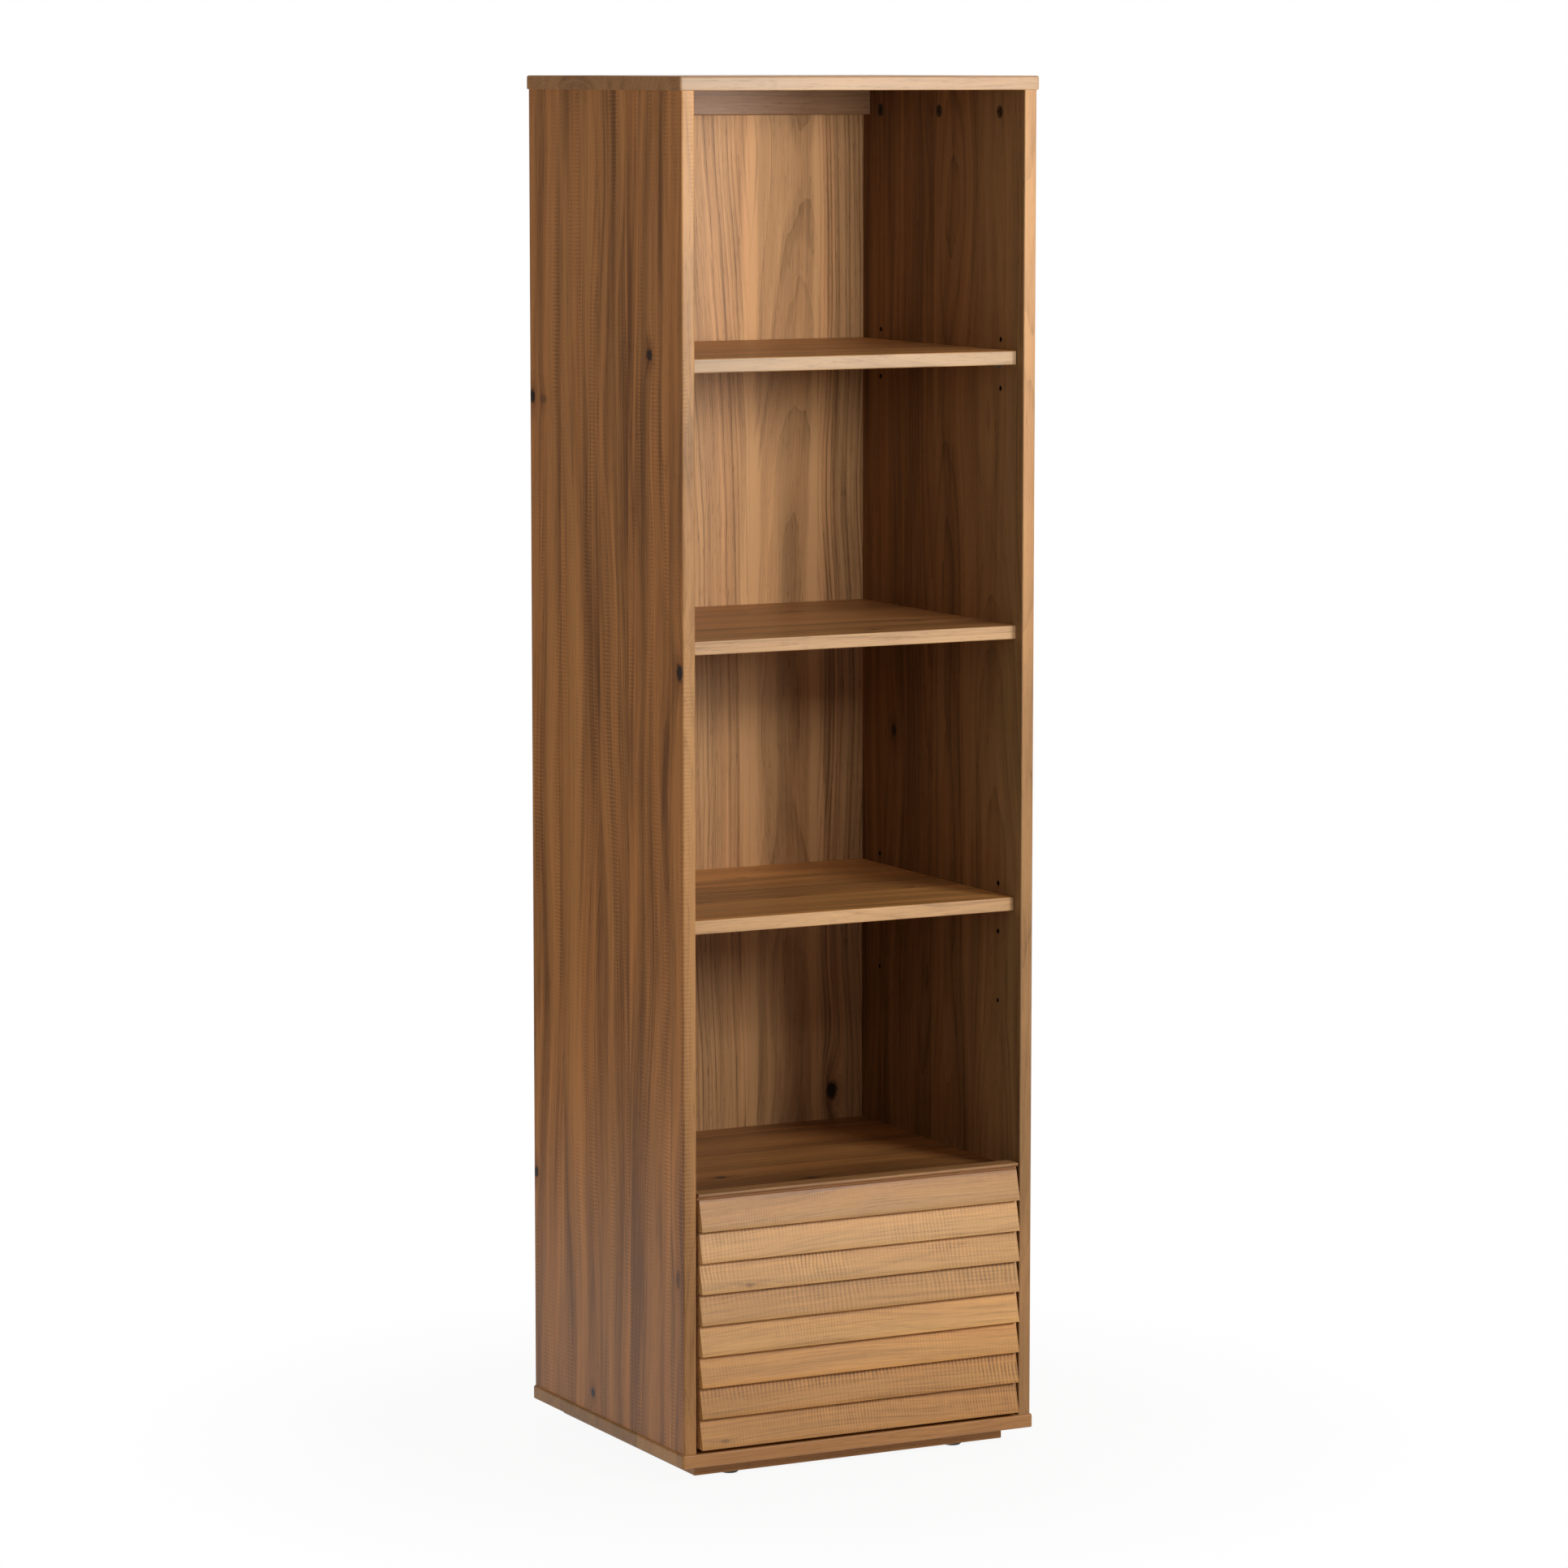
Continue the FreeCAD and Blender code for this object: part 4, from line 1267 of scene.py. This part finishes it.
@dataclass
class Fittings:
    """Cams, bolts, pins, screws, runners, dowels and glides."""

    cast: tuple[str, ...] = (
        "top_cam_locks", "bottom_cam_locks", "fixed_shelf_cam_locks", "divider_cam_locks",
    )
    steel: tuple[str, ...] = (
        "top_cam_bolts", "bottom_cam_bolts", "fixed_shelf_cam_bolts", "divider_cam_bolts",
        "upper_shelf_pins", "lower_shelf_pins", "glide_nails",
    )
    runners: tuple[str, ...] = (
        "runner_outer_left", "runner_outer_right", "runner_middle_left", "runner_middle_right",
        "runner_inner_left", "runner_inner_right",
    )
    dowels: dict = field(default_factory=lambda: {
        "top_dowels": Grain.UPRIGHT_SIDE, "bottom_dowels": Grain.UPRIGHT_SIDE, "rail_dowels": Grain.FRONT,
        "fixed_shelf_dowels": Grain.LEVEL, "divider_dowels": Grain.LEVEL,
    })
    dowel_tone: Shade = (206, 168, 126)

    def dress(self, dresser: Dresser) -> None:
        """Dress every fitting.

        Args:
            dresser: Puts the materials on.
        """
        finisher = dresser.finisher
        screws = Screws()
        dresser.all_in(self.cast, finisher.metal(CAST_ZINC))
        steel = finisher.metal(SCREW_STEEL)
        dresser.all_in(self.steel, steel)
        dresser.all_in(screws.riders, steel)
        screws.build(dresser, steel)
        dresser.all_in(self.runners, finisher.metal(RUNNER_STEEL))
        dresser.all_in(("glides",), finisher.metal(BLACK_PLASTIC))
        for seed, (node, grain) in enumerate(self.dowels.items(), 91):
            dresser.board(node, WoodFinish(grain, seed, self.dowel_tone, stave=0.3, saw=0.0, stain=0.0))


@dataclass(frozen=True)
class SoftBox:
    """One soft lamp: its place, the point it faces, its size, its power in watts and its fan in degrees."""

    name: str
    place: Spot
    aim: Spot
    size: tuple[float, float]
    power: float
    spread: float = 180.0

    def hang(self) -> None:
        """Add the lamp to the scene."""
        data = bpy.data.lights.new(self.name, "AREA")
        data.shape = "RECTANGLE"
        data.size, data.size_y = self.size
        data.energy = self.power
        data.spread = math.radians(self.spread)
        lamp = bpy.data.objects.new(self.name, data)
        lamp.location = self.place
        lamp.rotation_euler = (Vector(self.aim) - Vector(self.place)).to_track_quat("-Z", "Y").to_euler()
        bpy.context.scene.collection.objects.link(lamp)


@dataclass
class Studio:
    """The pale floor, the world round it, a black flag and the soft lamps."""

    floor_radius: float = 40.0
    floor_sides: int = 96
    floor_colour: Colour = (0.82, 0.82, 0.82, 1.0)
    floor_roughness: float = 0.9
    floor_gloss: float = 0.1
    world_fill: float = 0.07
    shadow_share: float = 0.07
    shadow_inside: float = 0.35
    shadow_outside: float = 0.9
    flag_half_size: Spot = (1.6, 1.5, 1.0)
    flag_place: Spot = (-1.15, 1.75, 1.5)
    flag_turn: float = math.radians(-28)
    flag_colour: Colour = (0.02, 0.02, 0.02, 1.0)
    lamps: tuple[SoftBox, ...] = (
        SoftBox("key", (1.05, -2.45, 1.5), (0.0, 0.0, 0.8), (0.7, 0.7), 45.0),
        SoftBox("bays", (0.2, -1.7, 1.6), (0.1, 0.2, 1.45), (0.5, 0.5), 2.6, 60.0),
        SoftBox("left", (-3.0, -0.4, 1.5), (0.0, 0.0, 1.1), (2.0, 2.0), 19.0),
        SoftBox("left_front", (-2.2, -2.2, 1.4), (0.0, 0.0, 0.8), (1.0, 1.4), 6.0),
        SoftBox("right", (3.0, 0.2, 1.2), (0.0, 0.0, 0.8), (1.5, 2.0), 20.0),
        SoftBox("rear", (0.3, 3.2, 1.4), (0.0, 0.0, 0.8), (1.8, 2.0), 26.0),
        SoftBox("over", (0.0, 0.3, 3.6), (0.0, 0.0, 1.6), (1.5, 1.5), 12.0),
    )

    def build(self) -> None:
        """Set up floor, world, flag and lamps."""
        scene = bpy.context.scene
        scene.view_settings.view_transform = "Standard"
        self.add_floor()
        self.add_world(scene)
        self.add_flag()
        for lamp in self.lamps:
            lamp.hang()

    def add_floor(self) -> None:
        """Lay a pale floor that shows white but keeps the case's shadow."""
        mesh = bmesh.new()
        bmesh.ops.create_circle(mesh, cap_ends=True, segments=self.floor_sides, radius=self.floor_radius)
        floor = finished_piece("floor", mesh)
        material, sheet, shader = new_material("pale_floor")
        shader.inputs["Base Color"].default_value = self.floor_colour
        shader.inputs["Roughness"].default_value = self.floor_roughness
        shader.inputs["Specular IOR Level"].default_value = self.floor_gloss
        glow = sheet.place("ShaderNodeEmission", {"Color": WHITE, "Strength": 1.0})[0]
        distance = sheet.length(sheet.place("ShaderNodeTexCoord", {})["Object"])
        fade = sheet.rise(distance, self.shadow_inside, self.shadow_outside)
        share = self.seen_directly(sheet) * (fade * self.shadow_share + (1.0 - self.shadow_share))
        surface = sheet.outputs(shader)[0]
        mixed = sheet.place("ShaderNodeMixShader", {0: share, 1: surface, 2: glow})[0]
        sheet.feed(material.node_tree.nodes["Material Output"].inputs["Surface"], mixed)
        floor.data.materials.append(material)

    @staticmethod
    def seen_directly(sheet: Sheet) -> Wire:
        """Tell rays that show the background from those that light the case.

        Args:
            sheet: The sheet that gets the nodes.

        Returns:
            1 where the camera looks, or a mirror or glass shows it, and 0 elsewhere.
        """
        path = sheet.place("ShaderNodeLightPath", {})
        seen = sheet.math("MAXIMUM", path["Is Camera Ray"], path["Is Glossy Ray"])
        return sheet.math("MAXIMUM", seen, path["Is Transmission Ray"])

    def add_world(self, scene: bpy.types.Scene) -> None:
        """Make a world that shows white and lights the case softly.

        Args:
            scene: The scene that gets the world.
        """
        world = bpy.data.worlds.new("studio")
        world.use_nodes = True
        scene.world = world
        sheet = Sheet(world.node_tree)
        background = world.node_tree.nodes["Background"]
        background.inputs["Color"].default_value = WHITE
        strength = self.seen_directly(sheet) * (1.0 - self.world_fill) + self.world_fill
        sheet.feed(background.inputs["Strength"], strength)

    def add_flag(self) -> None:
        """Stand a black flag behind the left side, so that only its gloss goes dark."""
        mesh = bmesh.new()
        bmesh.ops.create_grid(mesh, x_segments=1, y_segments=1, size=1.0)
        bmesh.ops.scale(mesh, vec=self.flag_half_size, verts=mesh.verts)
        turn = Matrix.Rotation(self.flag_turn, 4, "Z") @ Matrix.Rotation(math.pi / 2, 4, "X")
        bmesh.ops.transform(mesh, matrix=Matrix.Translation(self.flag_place) @ turn, verts=mesh.verts)
        flag = finished_piece("flag", mesh)
        material, _, shader = new_material("black_cloth")
        shader.inputs["Base Color"].default_value = self.flag_colour
        shader.inputs["Roughness"].default_value = 1.0
        flag.data.materials.append(material)
        flag.visible_camera = False
        flag.visible_diffuse = False
        flag.visible_shadow = False
        flag.visible_transmission = False


@dataclass
class ViewCamera:
    """The camera at the picture's viewing angle."""

    place: Spot = (-3.1027, -5.99926, 1.61638)
    turn: float = 0.47766
    dip: float = 0.12396
    focal_pixels: float = 7147.05
    picture_side: float = 1932.0
    sensor: float = 36.0

    def build(self) -> None:
        """Place the camera and make it the scene's own."""
        data = bpy.data.cameras.new("camera")
        data.sensor_width = self.sensor
        data.lens = self.sensor * self.focal_pixels / self.picture_side
        camera = bpy.data.objects.new("camera", data)
        camera.location = self.place
        camera.rotation_euler = (math.pi / 2 - self.dip, 0.0, -self.turn)
        bpy.context.scene.collection.objects.link(camera)
        bpy.context.scene.camera = camera


def main() -> None:
    """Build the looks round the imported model, piece by piece."""
    logging.basicConfig(level=logging.INFO, format="%(name)s: %(message)s")
    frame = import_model()
    dresser = Dresser(frame["nodes"], Finisher())
    Carcass().dress(dresser)
    Shelves().dress(dresser)
    Plinth().dress(dresser)
    DrawerFront().build(dresser)
    DrawerBox().dress(dresser)
    Fittings().dress(dresser)
    Studio().build()
    ViewCamera().build()


if __name__ == "__main__":
    main()
